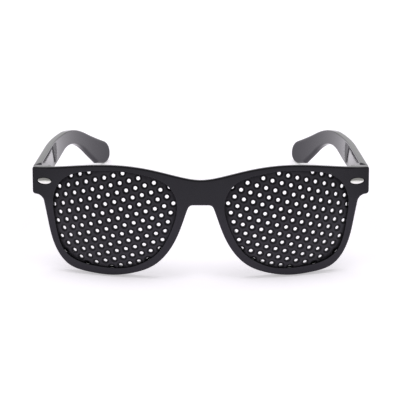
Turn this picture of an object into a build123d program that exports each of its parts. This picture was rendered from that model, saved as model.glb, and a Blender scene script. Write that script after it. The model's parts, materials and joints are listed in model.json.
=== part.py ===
from build123d import *
from math import asin, atan2, cos, degrees, hypot, radians, sin, sqrt, tan
import os

# Pinhole glasses: a moulded front with two perforated lenses, and two arms on metal hinges.
# Lengths are in millimetres and angles in degrees.
# The pieces are drawn as the glasses are worn: X to the wearer's left, Y to the back and Z up,
# from the middle of the front's face. At the end they lean back until they stand on their rims
# and arm tips. Everything is drawn on the wearer's left, and mirrored for the right.

# Fits
fit_gap = 0.05          # beside a piece that is pressed or set into another
running_gap = 0.03      # around the hinge screw, on the radius
knuckle_gap = 0.12      # between two knuckles of a hinge
joint_gap = 0.15        # between the front and an open arm
overrun = 1.0           # by which a cutting body passes the face that it cuts

# Front
front_width = 144.8
front_height = 47.6
front_ball_radius = 225.0
front_thickness = 4.0
front_edge_round = 0.6
lens_gap = 20.3         # between the lens openings, across the bridge
end_width = 9.0         # from a lens opening to the end of the front
brow_rim = 1.6          # from the top of a lens opening to the top of the front
lower_rim = 3.4         # below a lens opening
end_height = 11.6       # of the end piece that carries the hinge
end_thickness = 3.8     # of the end piece, from its face to the arm's seat
end_block_width = 7.9
end_corner_round = 2.4
notch_round = 2.2
bridge_height = 9.4
arch_half_width = 4.9   # of the flat under the bridge, before its corners are rounded
arch_round = 2.2

# Nose pads, moulded on the back of the front
pad_length = 15.0
pad_thickness = 3.0
pad_depth = 6.5
pad_spread = 2.0        # by which a pad leans away from the nose at its back
pad_slope = 61.0        # of a pad's length, from level
pad_foot_out = 14.5     # of the pad's lower end, from the middle of the bridge
pad_foot_down = 12.8    # of the pad's lower end, below the middle of the front
pad_back_share = 0.8    # of the pad's back end, of its size at the front

# Lenses, curved more than the front, so that their middles stand out in front of it
lens_side_radius = 66.0  # of a lens seen from above, at the middle of its thickness
lens_tall_radius = 54.0  # of a lens seen from the side
lens_turn = 8.2         # by which a lens faces outward
lens_thickness = 1.0
lens_bulge = 2.7        # of the lens's middle, in front of the front's face
groove_depth = 1.3      # of the groove in the rim that holds the lens
hole_radius = 0.88
hole_mouth_radius = 1.2
hole_mouth_depth = 0.3
hole_pitch = 4.04       # along a row
hole_row_pitch = 4.01   # from a hole to the nearest holes of the next row
hole_row_angle = 14.4   # by which the rows rise towards the nose
hole_line_angle = 61.3  # between a row and the nearest line of holes across it
hole_start_x = 35.11    # of one hole, from the middle of the bridge
hole_start_z = 2.55

# Oval trims, with two pins each through the end piece
trim_width = 6.2
trim_height = 2.9
trim_proud = 0.5
trim_sink = 0.4
trim_from_end = 5.35    # from the end of the front to the middle of the trim
trim_pin_radius = 0.5
trim_pin_spacing = 3.2

# Hinges
hinge_below_brow = 5.9  # from the top of the end piece to the middle of the hinge
knuckles = 3            # of each hinge: two on the front's leaf, with the arm's between them
knuckle_radius = 1.5
knuckle_height = 1.6
hinge_pin_radius = 0.7
hinge_stand_off = 0.35  # between the knuckles and the faces beside them
leaf_thickness = 0.9
leaf_height = 5.2
front_leaf_width = 4.8
arm_leaf_length = 11.0
leaf_web_width = 2.2
screw_head_radius = 1.15
screw_head_height = 0.6
screw_slot_width = 0.3
screw_slot_depth = 0.3

# Arms
arm_inset = 0.2         # of the arm's outer face, from the end of the front
arm_thickness = 3.1
arm_reach = 123.5       # from the arm's seat to its tip, straight back
arm_edge_round = 0.5
arm_splay = 1.7         # by which the straight part heads inward
arm_straight = 41.5     # before the arm bows inward
arm_bow_radius = 200.0
arm_front_height = 11.6
arm_middle_height = 10.4
arm_middle_back = 50.0  # from the seat to where the arm begins to taper
arm_waist_back = 81.3   # from the seat to the lower bend
arm_waist_height = 5.1  # before the bend is rounded
arm_bend_back = 89.3    # from the seat to the upper bend
arm_tip_drop = 14.2     # of the upper corner of the tip, below the top of the arm
arm_tip_height = 11.6
arm_foot_back = 111.8   # from the seat to the front end of the tip's foot
arm_foot_slope = 12.0   # by which the foot goes down to the back
arm_foot_round = 1.5
arm_upper_bend_radius = 72.0
arm_middle_bend_radius = 150.0
arm_lower_bend_radius = 19.0
arm_tip_upper_round = 4.5
arm_tip_lower_round = 4.4
arm_seat_round = 1.4    # of the arm's inner corner beside the hinge
rivet_radius = 0.55
rivet_head_radius = 1.05
rivet_head_height = 0.35
rivet_first_back = 3.8  # from the hinge's axis
rivet_spacing = 4.4

# Outlines, as shares of half the front's width and height, by hand
brow_shares = [(0, 0.754), (0.118, 0.807), (0.286, 0.925), (0.488, 1.0), (0.70, 0.975), (1.0, 0.929)]
notch_share = 0.940
rim_shares = [
    (0.914, 0.033), (0.862, -0.558), (0.785, -0.850), (0.660, -0.967), (0.530, -1.0),
    (0.397, -0.940), (0.284, -0.800), (0.174, -0.445), (0.109, -0.010), (0.081, 0.236),
]
# The lens opening, as shares of half its own width and height
opening_shares = [
    (0.977, 0.0), (0.994, 0.405), (0.848, 0.770), (0.549, 0.944), (0.257, 0.985), (0.0, 1.0),
    (-0.251, 0.975), (-0.527, 0.911), (-0.827, 0.754), (-0.994, 0.406), (-0.956, 0.0),
    (-0.846, -0.342), (-0.697, -0.632), (-0.487, -0.838), (-0.249, -0.962), (0.0, -1.0),
    (0.255, -0.980), (0.538, -0.915), (0.800, -0.723), (0.927, -0.374),
]

half_width = front_width / 2
half_height = front_height / 2


def face_depth(x, z, ball_radius=front_ball_radius):
    """How far back the front's face lies at a place across and up it."""
    return front_ball_radius - sqrt(ball_radius**2 - x**2 - z**2)


def slab(sketch, near, far):
    """A sketch of X and Z made solid from one depth to another."""
    return extrude(Plane.XZ.offset(-far) * sketch, amount=far - near)


def block(low, high):
    """A box between two corners."""
    size = [b - a for a, b in zip(low, high)]
    return Pos(*low) * Box(*size, align=(Align.MIN, Align.MIN, Align.MIN))


def post(x, y, radius, bottom, top):
    """An upright cylinder."""
    return Pos(x, y, bottom) * Cylinder(radius, top - bottom, align=(Align.CENTER, Align.CENTER, Align.MIN))


def shell(centre, outer, inner):
    """The space between two balls about one centre."""
    return Pos(*centre) * (Sphere(outer) - Sphere(inner))


def corner(sketch, x, y):
    """The corner of a sketch that lies nearest to a place."""
    return sketch.vertices().sort_by_distance(Vector(x, y, 0))[0]


# The front's outline
brow_end = (half_width, half_height * brow_shares[-1][1])
end_low = brow_end[1] - end_height
notch = (half_width * notch_share, end_low)
end_foot = (half_width, end_low)
bridge_top = half_height * brow_shares[0][1]
arch_top = bridge_top - bridge_height
arch_corner = (arch_half_width, arch_top)


def half_front_outline():
    """The outline of the front's left half, as a flat sketch."""
    brow = [(half_width * x, half_height * z) for x, z in brow_shares]
    rim = [(half_width * x, half_height * z) for x, z in rim_shares]
    edges = [
        Spline(brow, tangents=[(1, 0), (1, 0)]),
        Line(brow_end, end_foot),
        Line(end_foot, notch),
        Spline([notch] + rim + [arch_corner]),
        Line(arch_corner, (0, arch_top)),
        Line((0, arch_top), (0, bridge_top)),
    ]
    sketch = make_face(Curve() + edges)
    sketch = fillet(corner(sketch, *end_foot), end_corner_round)
    sketch = fillet(corner(sketch, *notch), notch_round)
    return fillet(corner(sketch, *arch_corner), arch_round)


half_outline = half_front_outline()
front_outline = half_outline + mirror(half_outline, about=Plane.YZ)

# The lens opening
opening_near = lens_gap / 2
opening_far = half_width - end_width
opening_top = half_height - brow_rim
opening_bottom = lower_rim - half_height
opening_middle = ((opening_near + opening_far) / 2, (opening_top + opening_bottom) / 2)
opening_half = ((opening_far - opening_near) / 2, (opening_top - opening_bottom) / 2)
opening_points = [
    (opening_middle[0] + opening_half[0] * x, opening_middle[1] + opening_half[1] * z)
    for x, z in opening_shares
]
opening_edge = Spline(opening_points, periodic=True)
outline_steps = 48      # places at which the opening's outline is measured to grow it


def grown_opening(amount):
    """The opening's outline, moved outward all round."""
    places = []
    for step in range(outline_steps):
        place = opening_edge @ (step / outline_steps)
        along = opening_edge % (step / outline_steps)
        out = Vector(-along.Y, along.X, 0)
        if out.dot(place - Vector(*opening_middle, 0)) < 0:
            out = -out
        places.append(place + out * amount)
    return make_face(Spline(places, periodic=True))


opening = make_face(opening_edge)

front_centre = Vector(0, front_ball_radius, 0)

# The lens is a part of a barrel shape, about an upright axis behind the middle of the opening
lens_front = face_depth(*opening_middle) - lens_bulge + lens_thickness / 2
lens_axis_x = opening_middle[0] - lens_side_radius * sin(radians(lens_turn))
lens_axis_y = lens_front + lens_side_radius * cos(radians(lens_turn))
lens_ring_radius = lens_side_radius - lens_tall_radius


def lens_place(x, z):
    """The place in the middle of the lens's thickness at a place across and up, and its way inward."""
    up = z - opening_middle[1]
    flat = sqrt(lens_tall_radius**2 - up**2)
    out = lens_ring_radius + flat
    across = x - lens_axis_x
    back = sqrt(out**2 - across**2)
    inward = Vector(-across * flat / out, back * flat / out, -up).normalized()
    return Vector(x, lens_axis_y - back, z), inward


def lens_band(grow):
    """The space between the front and the back of a lens's barrel shape, grown on both sides."""
    half = lens_thickness / 2 + grow
    ring = Circle(lens_tall_radius + half) - Circle(lens_tall_radius - half)
    height = 2 * (opening_half[1] + groove_depth + overrun)
    strip = Pos(lens_ring_radius, opening_middle[1]) * (ring & Pos(lens_tall_radius, 0) * Rectangle(lens_tall_radius, height))
    return Pos(lens_axis_x, lens_axis_y, 0) * revolve(Plane.XZ * strip, Axis.Z)

# Where the hinge and the arm stand
arm_seat = face_depth(half_width, brow_end[1]) + end_thickness
arm_outer = half_width - arm_inset
splay = radians(arm_splay)
arm_inner = arm_outer - arm_thickness / cos(splay)
hinge_offset = knuckle_radius + hinge_stand_off
hinge_x = arm_inner - hinge_offset
hinge_y = arm_seat + hinge_offset
hinge_z = brow_end[1] - hinge_below_brow
barrel_half = knuckles * knuckle_height / 2 + knuckle_gap
deep = arm_seat + hinge_offset + knuckle_radius + overrun
arm_front = arm_seat + joint_gap
splay_axis = Axis((arm_inner, arm_front, 0), (0, 0, 1))


def end_zone(near, far):
    """A box round the left end piece, from one depth to another."""
    return block(
        (half_width - end_block_width, near, end_low - overrun),
        (half_width + overrun, far, half_height + overrun),
    )


def front_shell():
    """The front as a slice of a hollow ball, thicker at its ends, with its openings."""
    ball = Pos(*front_centre) * Sphere(front_ball_radius)
    hollow = Pos(*front_centre) * Sphere(front_ball_radius - front_thickness)
    thick = end_zone(-overrun, arm_seat)
    behind = end_zone(arm_seat, deep)
    hollow = hollow - thick - mirror(thick, about=Plane.YZ) + behind + mirror(behind, about=Plane.YZ)
    left = slab(opening, -overrun, deep)
    plate = (slab(front_outline, -overrun, deep) & ball) - hollow - left - mirror(left, about=Plane.YZ)
    rim = [e for e in plate.edges() if abs((e @ 0.5 - front_centre).length - front_ball_radius) < fit_gap]
    return fillet(rim, front_edge_round)


def nose_pad():
    """A crescent that stands behind the nose side of the rim and leans away from the nose."""
    def crescent(depth, spread, length, thickness):
        """One section of the pad, on the plane at a depth."""
        slope = radians(pad_slope)
        foot = (pad_foot_out + spread, -pad_foot_down)
        ends = [foot, (foot[0] - cos(slope) * length, foot[1] + sin(slope) * length)]
        middle = ((ends[0][0] + ends[1][0]) / 2, (ends[0][1] + ends[1][1]) / 2)
        bulge = (middle[0] + sin(slope) * thickness, middle[1] + cos(slope) * thickness)
        line = Curve() + [Line(ends[0], ends[1]), ThreePointArc(ends[1], bulge, ends[0])]
        return Plane.XZ.offset(-depth) * make_face(line)

    near = face_depth(arch_half_width, 0) + front_thickness / 2
    far = near + front_thickness / 2 + pad_depth
    return loft(
        [
            crescent(near, 0, pad_length, pad_thickness),
            crescent(far, pad_spread, pad_length * pad_back_share, pad_thickness * pad_back_share),
        ]
    )


trim_x = half_width - trim_from_end
trim_z = hinge_z


def trim_sketch(grow):
    """The oval of a trim, grown all round."""
    return Pos(trim_x, trim_z) * Ellipse(trim_width / 2 + grow, trim_height / 2 + grow)


def trim_slice(sketch, proud):
    """The part of a trim's outline between its sunk back and a height above the face."""
    back = front_ball_radius - trim_sink
    return slab(sketch, -overrun, deep) & shell(front_centre, front_ball_radius + proud, back)


def trim_pins(radius, end):
    """The two pins of a trim, from its back to a depth."""
    pins = []
    for side in (-1, 1):
        x = trim_x + side * trim_pin_spacing / 2
        start = face_depth(x, trim_z) + trim_sink / 2
        spot = Pos(x, trim_z) * Circle(radius)
        pins.append(slab(spot, start, end))
    return pins


def front_leaf_plate(grow):
    """The plate of the front's leaf, set in the arm's seat."""
    low = (trim_x - front_leaf_width / 2 - grow, arm_seat - leaf_thickness - grow)
    high = (low[0] + front_leaf_width + 2 * grow, arm_seat)
    half = leaf_height / 2 + grow
    return block((low[0], low[1], hinge_z - half), (high[0], high[1] + grow, hinge_z + half))


def front_leaf():
    """The front's leaf: a plate with an upper and a lower knuckle."""
    leaf = front_leaf_plate(0)
    for side in (-1, 1):
        middle = hinge_z + side * (knuckle_height + knuckle_gap)
        bottom = middle - knuckle_height / 2
        top = middle + knuckle_height / 2
        leaf += post(hinge_x, hinge_y, knuckle_radius, bottom, top)
        half_web = leaf_web_width / 2
        leaf += block((hinge_x - half_web, arm_seat - leaf_thickness / 2, bottom), (hinge_x + half_web, hinge_y, top))
    bore = post(hinge_x, hinge_y, hinge_pin_radius + running_gap, hinge_z - leaf_height, hinge_z + leaf_height)
    leaf -= bore
    for pin in trim_pins(trim_pin_radius + fit_gap, deep):
        leaf -= pin
    return leaf


def arm_leaf_plate(grow):
    """The plate of the arm's leaf, set in the arm's inner face."""
    low = (arm_inner - grow, hinge_y - leaf_web_width / 2 - grow)
    high = (arm_inner + leaf_thickness + grow, low[1] + arm_leaf_length + 2 * grow)
    half = leaf_height / 2 + grow
    plate = block((low[0], low[1], hinge_z - half), (high[0], high[1], hinge_z + half))
    return plate.rotate(splay_axis, arm_splay)


def arm_rivets(radius, low, high):
    """A pair of cylinders where the rivets are, between two heights above the arm's inner face."""
    rivets = []
    for number in range(2):
        y = hinge_y + rivet_first_back + number * rivet_spacing
        pin = Cylinder(radius, high - low, align=(Align.CENTER, Align.CENTER, Align.MIN))
        pin = Pos(arm_inner + low, y, hinge_z) * Rot(0, 90, 0) * pin
        rivets.append(pin.rotate(splay_axis, arm_splay))
    return rivets


def arm_leaf():
    """The arm's leaf: a plate with the middle knuckle."""
    leaf = arm_leaf_plate(0)
    bottom = hinge_z - knuckle_height / 2
    top = hinge_z + knuckle_height / 2
    leaf += post(hinge_x, hinge_y, knuckle_radius, bottom, top)
    half_web = leaf_web_width / 2
    leaf += block((hinge_x, hinge_y - half_web, bottom), (arm_inner + leaf_thickness / 2, hinge_y + half_web, top))
    leaf -= post(hinge_x, hinge_y, hinge_pin_radius + running_gap, bottom - overrun, top + overrun)
    for hole in arm_rivets(rivet_radius + fit_gap, -overrun, arm_thickness + overrun):
        leaf -= hole
    return leaf


def hinge_screw():
    """The slotted screw that both leaves turn on."""
    bottom = hinge_z - barrel_half
    top = hinge_z + barrel_half
    screw = post(hinge_x, hinge_y, hinge_pin_radius, bottom, top)
    head_top = top + screw_head_height
    head = post(hinge_x, hinge_y, screw_head_radius, top, head_top)
    slot = block(
        (hinge_x - screw_head_radius, hinge_y - screw_slot_width / 2, head_top - screw_slot_depth),
        (hinge_x + screw_head_radius, hinge_y + screw_slot_width / 2, head_top + overrun),
    )
    return screw + (head - slot)


def hole_places():
    """The pattern of holes that fits in the opening, row by row."""
    turn = 180 - hole_row_angle
    across = Vector(hole_pitch, 0, 0).rotate(Axis.Z, turn)
    up = Vector(hole_row_pitch, 0, 0).rotate(Axis.Z, turn + hole_line_angle)
    reach = int((opening_half[0] + opening_half[1]) / hole_pitch) + 2
    face = opening.faces()[0]
    places = []
    for row in range(-reach, reach + 1):
        for column in range(-reach, reach + 1):
            spot = Vector(hole_start_x, hole_start_z, 0) + across * column + up * row
            if face.is_inside(spot):
                places.append(spot)
    return places


def lens():
    """A lens: a slice of its barrel shape, with a tapered hole at each place."""
    blank = slab(grown_opening(groove_depth - fit_gap), -lens_bulge - overrun, deep) & lens_band(0)
    section = make_face(
        Polyline(
            (0, -overrun),
            (hole_mouth_radius + overrun * 0.5, -overrun),
            (hole_mouth_radius, 0),
            (hole_radius, hole_mouth_depth),
            (hole_radius, lens_thickness + overrun),
            (0, lens_thickness + overrun),
            (0, -overrun),
        )
    )
    cutter = revolve(Plane.XZ * section, Axis.Z)
    cutters = []
    for spot in hole_places():
        place, inward = lens_place(spot.X, spot.Y)
        mouth = place - inward * (lens_thickness / 2)
        cutters.append(Plane(origin=mouth, z_dir=inward) * cutter)
    return blank - cutters


arm_top = brow_end[1]
arm_tip = arm_seat + arm_reach
tip_top = arm_top - arm_tip_drop
tip_low = tip_top - arm_tip_height
foot_slope = radians(arm_foot_slope)
foot_start = (arm_seat + arm_foot_back, tip_low + (arm_reach - arm_foot_back) * tan(foot_slope))
# the middle of the round at the tip's lower corner
tip_corner = (
    arm_tip - arm_tip_lower_round,
    tip_low + arm_tip_lower_round * (tan(foot_slope) + 1 / cos(foot_slope)),
)


def arm_band():
    """The arm seen from above: straight, then bowed inward, at its full height."""
    def bow(radius, heading):
        """A place on the bow, by its radius and the arm's heading there."""
        return (bow_x + radius * cos(heading), bow_y + radius * sin(heading))

    inner_radius = arm_bow_radius - arm_thickness
    start = (arm_outer, arm_front)
    inner_start = (arm_inner, arm_front)
    bend = (start[0] - sin(splay) * arm_straight, start[1] + cos(splay) * arm_straight)
    bow_x = bend[0] - arm_bow_radius * cos(splay)
    bow_y = bend[1] - arm_bow_radius * sin(splay)
    last = asin((arm_tip + overrun - bow_y) / inner_radius)
    middle = (splay + last) / 2
    edges = [
        Line(start, bend),
        ThreePointArc(bend, bow(arm_bow_radius, middle), bow(arm_bow_radius, last)),
        Line(bow(arm_bow_radius, last), bow(inner_radius, last)),
        ThreePointArc(bow(inner_radius, last), bow(inner_radius, middle), bow(inner_radius, splay)),
        Line(bow(inner_radius, splay), inner_start),
        Line(inner_start, start),
    ]
    band = fillet(corner(make_face(Curve() + edges), *inner_start), arm_seat_round)
    return extrude(Plane.XY.offset(-front_height) * band, amount=2 * front_height)


def arm_side():
    """The arm seen from the side, as a sketch of Y and Z."""
    front = arm_seat - overrun
    corners = [
        ((front, arm_top), 0),
        ((arm_seat + arm_bend_back, arm_top), arm_upper_bend_radius),
        ((arm_tip, tip_top), arm_tip_upper_round),
        ((arm_tip, tip_low), arm_tip_lower_round),
        (foot_start, arm_foot_round),
        ((arm_seat + arm_waist_back, arm_top - arm_waist_height), arm_lower_bend_radius),
        ((arm_seat + arm_middle_back, arm_top - arm_middle_height), arm_middle_bend_radius),
        ((front, arm_top - arm_front_height), 0),
    ]
    sketch = make_face(Polyline([place for place, _ in corners], close=True))
    for place, radius in corners:
        if radius:
            sketch = fillet(corner(sketch, *place), radius)
    return sketch


def arm():
    """An arm, with the pocket and the holes for its leaf."""
    side = extrude(Plane.YZ * arm_side(), amount=front_width)
    solid = arm_band() & side
    long_edges = [e for e in solid.edges() if e.center().Y > arm_seat + arm_thickness]
    solid = fillet(long_edges, arm_edge_round)
    solid -= arm_leaf_plate(fit_gap)
    for hole in arm_rivets(rivet_radius + fit_gap, -overrun, arm_thickness + overrun):
        solid -= hole
    return solid


def rivets():
    """The pair of rivets of one arm, with low heads on its outer face."""
    pins = arm_rivets(rivet_radius, 0, arm_thickness)
    heads = arm_rivets(rivet_head_radius, arm_thickness, arm_thickness + rivet_head_height)
    return [pin + head for pin, head in zip(pins, heads)]


def front():
    """The front moulding of both sides, less everything that is set into it."""
    left = slab(grown_opening(groove_depth), -lens_bulge - overrun, deep) & lens_band(fit_gap)
    left += trim_slice(trim_sketch(fit_gap), overrun)
    left += front_leaf_plate(fit_gap)
    for pin in trim_pins(trim_pin_radius + fit_gap, deep):
        left += pin
    body = front_shell() + nose_pad() + mirror(nose_pad(), about=Plane.YZ)
    return body - left - mirror(left, about=Plane.YZ)


def trim():
    """A trim with its two pins, which end level with the back of the front's leaf."""
    made = trim_slice(trim_sketch(0), trim_proud)
    for pin in trim_pins(trim_pin_radius, arm_seat):
        made += pin
    return made


def rest_lean():
    """The angle by which the worn glasses lean back when they stand on the rims and arm tips."""
    rim_x = half_width * rim_shares[4][0]
    rim_y = face_depth(rim_x, half_height, front_ball_radius - front_thickness)
    across = tip_corner[0] - rim_y
    up = tip_corner[1] + half_height
    return degrees(atan2(up, across) - asin(arm_tip_lower_round / hypot(across, up)))


lean = rest_lean()
left_pieces = {
    "pinhole_lens": lens(),
    "temple": arm(),
    "front_trim": trim(),
    "front_hinge_leaf": front_leaf(),
    "temple_hinge_leaf": arm_leaf(),
    "hinge_screw": hinge_screw(),
    "temple_rivets": Compound(rivets()),
}
pieces = {"front_frame": front()}
for name, piece in left_pieces.items():
    pieces[name + "_left"] = piece
    pieces[name + "_right"] = mirror(piece, about=Plane.YZ)

# The glasses stand on their rims and arm tips, with the middle of that footprint at the origin
turned = {name: Rot(-lean, 0, 0) * piece for name, piece in pieces.items()}
boxes = [piece.bounding_box() for piece in turned.values()]
lowest = min(box.min.Z for box in boxes)
middle_y = (min(box.min.Y for box in boxes) + max(box.max.Y for box in boxes)) / 2
stand = Pos(0, -middle_y, -lowest)

os.makedirs("parts", exist_ok=True)
for name, piece in turned.items():
    placed = stand * piece
    solids = placed.solids()
    whole = solids[0] if len(solids) == 1 else Compound(solids)
    export_step(whole, "parts/" + name + ".step")

hinge_place = stand * Rot(-lean, 0, 0) * Pos(hinge_x, hinge_y, hinge_z)
print("lean", round(lean, 3), "origin in the worn frame", round(middle_y, 3), round(lowest, 3))
print("left hinge", hinge_place.position, "axis", Vector(0, sin(radians(lean)), cos(radians(lean))))
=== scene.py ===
"""Pinhole glasses: a moulded front, two perforated lenses and two folding arms, in a studio view.

Sizes are in millimetres and angles in degrees. The pieces are drawn as the glasses are worn: X to
the wearer's left, Y to the back and Z up, from the middle of the front's face. `lean` turns them
into the row frame, in metres, where the glasses stand on their rims and arm tips.
"""
import json
import logging
import math
from collections.abc import Callable, Sequence
from dataclasses import dataclass, field
from enum import Enum

import bmesh
import bpy
import numpy as np
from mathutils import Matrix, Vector
from mathutils.geometry import delaunay_2d_cdt

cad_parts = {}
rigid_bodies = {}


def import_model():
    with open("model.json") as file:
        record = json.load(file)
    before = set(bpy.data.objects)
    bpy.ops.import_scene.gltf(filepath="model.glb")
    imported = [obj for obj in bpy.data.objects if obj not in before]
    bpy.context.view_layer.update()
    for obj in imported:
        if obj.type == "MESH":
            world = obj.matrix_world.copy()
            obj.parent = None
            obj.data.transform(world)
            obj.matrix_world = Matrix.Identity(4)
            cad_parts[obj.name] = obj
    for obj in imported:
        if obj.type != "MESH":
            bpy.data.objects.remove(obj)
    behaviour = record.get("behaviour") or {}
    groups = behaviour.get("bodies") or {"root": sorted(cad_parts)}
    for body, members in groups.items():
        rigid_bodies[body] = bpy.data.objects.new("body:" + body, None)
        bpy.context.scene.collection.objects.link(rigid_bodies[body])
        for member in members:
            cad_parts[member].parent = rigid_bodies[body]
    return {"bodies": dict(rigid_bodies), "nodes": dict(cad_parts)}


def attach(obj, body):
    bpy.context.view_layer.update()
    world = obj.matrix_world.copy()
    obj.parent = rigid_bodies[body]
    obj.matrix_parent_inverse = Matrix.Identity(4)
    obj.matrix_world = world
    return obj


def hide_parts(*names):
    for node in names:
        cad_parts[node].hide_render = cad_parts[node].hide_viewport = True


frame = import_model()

log = logging.getLogger("pinhole_glasses")

Points = np.ndarray
Depth = Callable[[Points], Points]
Pair = tuple[float, float]
Triple = tuple[float, float, float]
Pocket = tuple[Points, float]

MM = 0.001
FULL_TURN = 2 * math.pi
HAIR = 1e-6              # below which two lengths are the same

LEAN_SIN = 0.163329      # of the angle by which the worn glasses lean back to stand on the table
LEAN_COS = 0.986572
ORIGIN_FORWARD = 69.011  # of the worn origin, in front of the row's
ORIGIN_HEIGHT = 24.94    # of the worn origin, above the table

LOOP_STEP = 0.42         # between the places of an edge
FEWEST_PLACES = 12       # of a loop
FEWEST_STEPS = 6         # of a rounded corner
EDGE_STEPS = 5           # of a rounded edge
LATHE_STEPS = 40         # round a turned shape
RIM_CLEAR = 0.8          # of an edge's step, that the grid on a face keeps from the edge
CLOSE_RIM_CLEAR = 0.4    # the same, for the further places that a shape asks for
EXTRA_CLEAR = 0.45       # of the grid's pitch, that it keeps from those further places
SHARP_ANGLE = 38.0       # past which an edge isn't smoothed over


class Side(Enum):
    """The wearer's side that a piece belongs to."""

    LEFT = 1
    RIGHT = -1

    @property
    def label(self) -> str:
        """The word that ends the names of this side's pieces."""
        return self.name.lower()


class Body(Enum):
    """What a piece rides on."""

    FRONT = "front"
    ARM = "temple"

    def on(self, side: Side) -> str:
        """The name of the body on one side."""
        return self.value if self is Body.FRONT else f"{self.value}_{side.label}"


def lean(points: Points) -> Points:
    """Turns places of the worn glasses into the row frame.

    Args:
        points: places in millimetres, one per line.

    Returns:
        The same places in metres, as the glasses stand on the table.
    """
    x, y, z = points.T
    back = y * LEAN_COS + z * LEAN_SIN - ORIGIN_FORWARD
    up = -y * LEAN_SIN + z * LEAN_COS + ORIGIN_HEIGHT
    return np.stack([x, back, up], axis=1) * MM


# Lines and loops


def smooth_line(points: Sequence, closed: bool = False, ends: Sequence | None = None) -> Points:
    """A smooth line through places, timed by the distances between them.

    Args:
        points: the places to pass through.
        closed: whether the line returns to its start.
        ends: the ways at both ends, or None to leave them free.

    Returns:
        Closely spaced places along the line.
    """
    p = np.array(points, float)
    if closed:
        p = np.vstack([p, p[:1]])
    gap = np.linalg.norm(np.diff(p, axis=0), axis=1)
    count = len(p)
    rule = np.zeros((count, count))
    value = np.zeros((count, 2))
    for i in range(1, count - 1):
        rule[i, i - 1 : i + 2] = 1 / gap[i - 1], 2 / gap[i - 1] + 2 / gap[i], 1 / gap[i]
        rise = (p[i + 1] - p[i]) / gap[i] ** 2 + (p[i] - p[i - 1]) / gap[i - 1] ** 2
        value[i] = 3 * rise
    if closed:
        rule[0, 0], rule[0, -1] = 1, -1
        rule[-1, -2], rule[-1, 0] = 1 / gap[-1], 2 / gap[-1] + 2 / gap[0]
        rule[-1, 1] = 1 / gap[0]
        value[-1] = 3 * ((p[1] - p[0]) / gap[0] ** 2 + (p[0] - p[-2]) / gap[-1] ** 2)
    elif ends is None:
        rule[0, :2], rule[-1, -2:] = (2, 1), (1, 2)
        value[0], value[-1] = 3 * (p[1] - p[0]) / gap[0], 3 * (p[-1] - p[-2]) / gap[-1]
    else:
        rule[0, 0] = rule[-1, -1] = 1
        value[0], value[-1] = ends
    way = np.linalg.solve(rule, value)
    parts = []
    for i in range(count - 1):
        s = np.linspace(0, 1, math.ceil(gap[i] / LOOP_STEP) + 1)[:-1, None]
        parts.append(
            (2 * s**3 - 3 * s**2 + 1) * p[i]
            + (s**3 - 2 * s**2 + s) * gap[i] * way[i]
            + (3 * s**2 - 2 * s**3) * p[i + 1]
            + (s**3 - s**2) * gap[i] * way[i + 1]
        )
    if not closed:
        parts.append(p[-1:])
    return np.vstack(parts)


def straight(start: Sequence, end: Sequence) -> Points:
    """Places along a straight line.

    Args:
        start: its first place.
        end: its last place.

    Returns:
        The places, no further apart than an edge's step.
    """
    start, end = np.array(start, float), np.array(end, float)
    steps = max(2, math.ceil(np.linalg.norm(end - start) / LOOP_STEP))
    return start + (end - start) * np.linspace(0, 1, steps + 1)[:, None]


def lengths(line: Points) -> Points:
    """The distance along a line to each of its places."""
    return np.concatenate([[0], np.cumsum(np.linalg.norm(np.diff(line, axis=0), axis=1))])


def at_lengths(line: Points, where: Points) -> Points:
    """The places at given distances along a line."""
    along = lengths(line)
    return np.stack([np.interp(where, along, line[:, axis]) for axis in (0, 1)], axis=1)


def trimmed(line: Points, start: float, end: float) -> Points:
    """A line less a length at each end.

    Args:
        line: the places of the line.
        start: the length to leave out at its start.
        end: the length to leave out at its end.

    Returns:
        The places of what is left.
    """
    along = lengths(line)
    keep = (along > start + HAIR) & (along < along[-1] - end - HAIR)
    tips = at_lengths(line, np.array([start, along[-1] - end]))
    return np.vstack([tips[:1], line[keep], tips[1:]])


def heading(line: Points, at_end: bool) -> Points:
    """The way of a line at its start or its end, of length one."""
    step = line[-1] - line[-2] if at_end else line[1] - line[0]
    return step / np.linalg.norm(step)


def angle_between(first: Points, second: Points) -> float:
    """The angle from one way to another, in radians."""
    return math.acos(float(np.clip(first @ second, -1, 1)))


def joined(pieces: Sequence[Points], rounds: Sequence[float], closed: bool = False) -> Points:
    """Joins lines end to end, with a round at each corner.

    Args:
        pieces: the lines, each starting where the last one ends.
        rounds: the radius of the corner after each line.
        closed: whether the last line meets the first in a corner as well.

    Returns:
        The places of the whole line.
    """
    count = len(pieces)
    corners = count if closed else count - 1
    cut = []
    for i in range(corners):
        before, after = heading(pieces[i], True), heading(pieces[(i + 1) % count], False)
        cut.append(rounds[i] * math.tan(angle_between(before, after) / 2))
    lines = []
    for i, piece in enumerate(pieces):
        start = cut[i - 1] if i or closed else 0
        lines.append(trimmed(piece, start, cut[i] if i < corners else 0))
    made = []
    for i, line in enumerate(lines):
        made.append(line)
        if i < corners and rounds[i]:
            after = lines[(i + 1) % count]
            a, d = line[-1], after[0]
            way_a, way_d = heading(line, True), heading(after, False)
            turn = angle_between(way_a, way_d)
            radius = np.linalg.norm(d - a) / (2 * math.sin(turn / 2))
            reach = 4 / 3 * math.tan(turn / 4) * radius
            b, c = a + way_a * reach, d - way_d * reach
            steps = max(FEWEST_STEPS, math.ceil(radius * turn / LOOP_STEP) + 1)
            s = np.linspace(0, 1, steps)[1:-1, None]
            curve = (1 - s) ** 3 * a + 3 * (1 - s) ** 2 * s * b + 3 * (1 - s) * s**2 * c + s**3 * d
            made.append(curve)
    return np.vstack(made)


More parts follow.
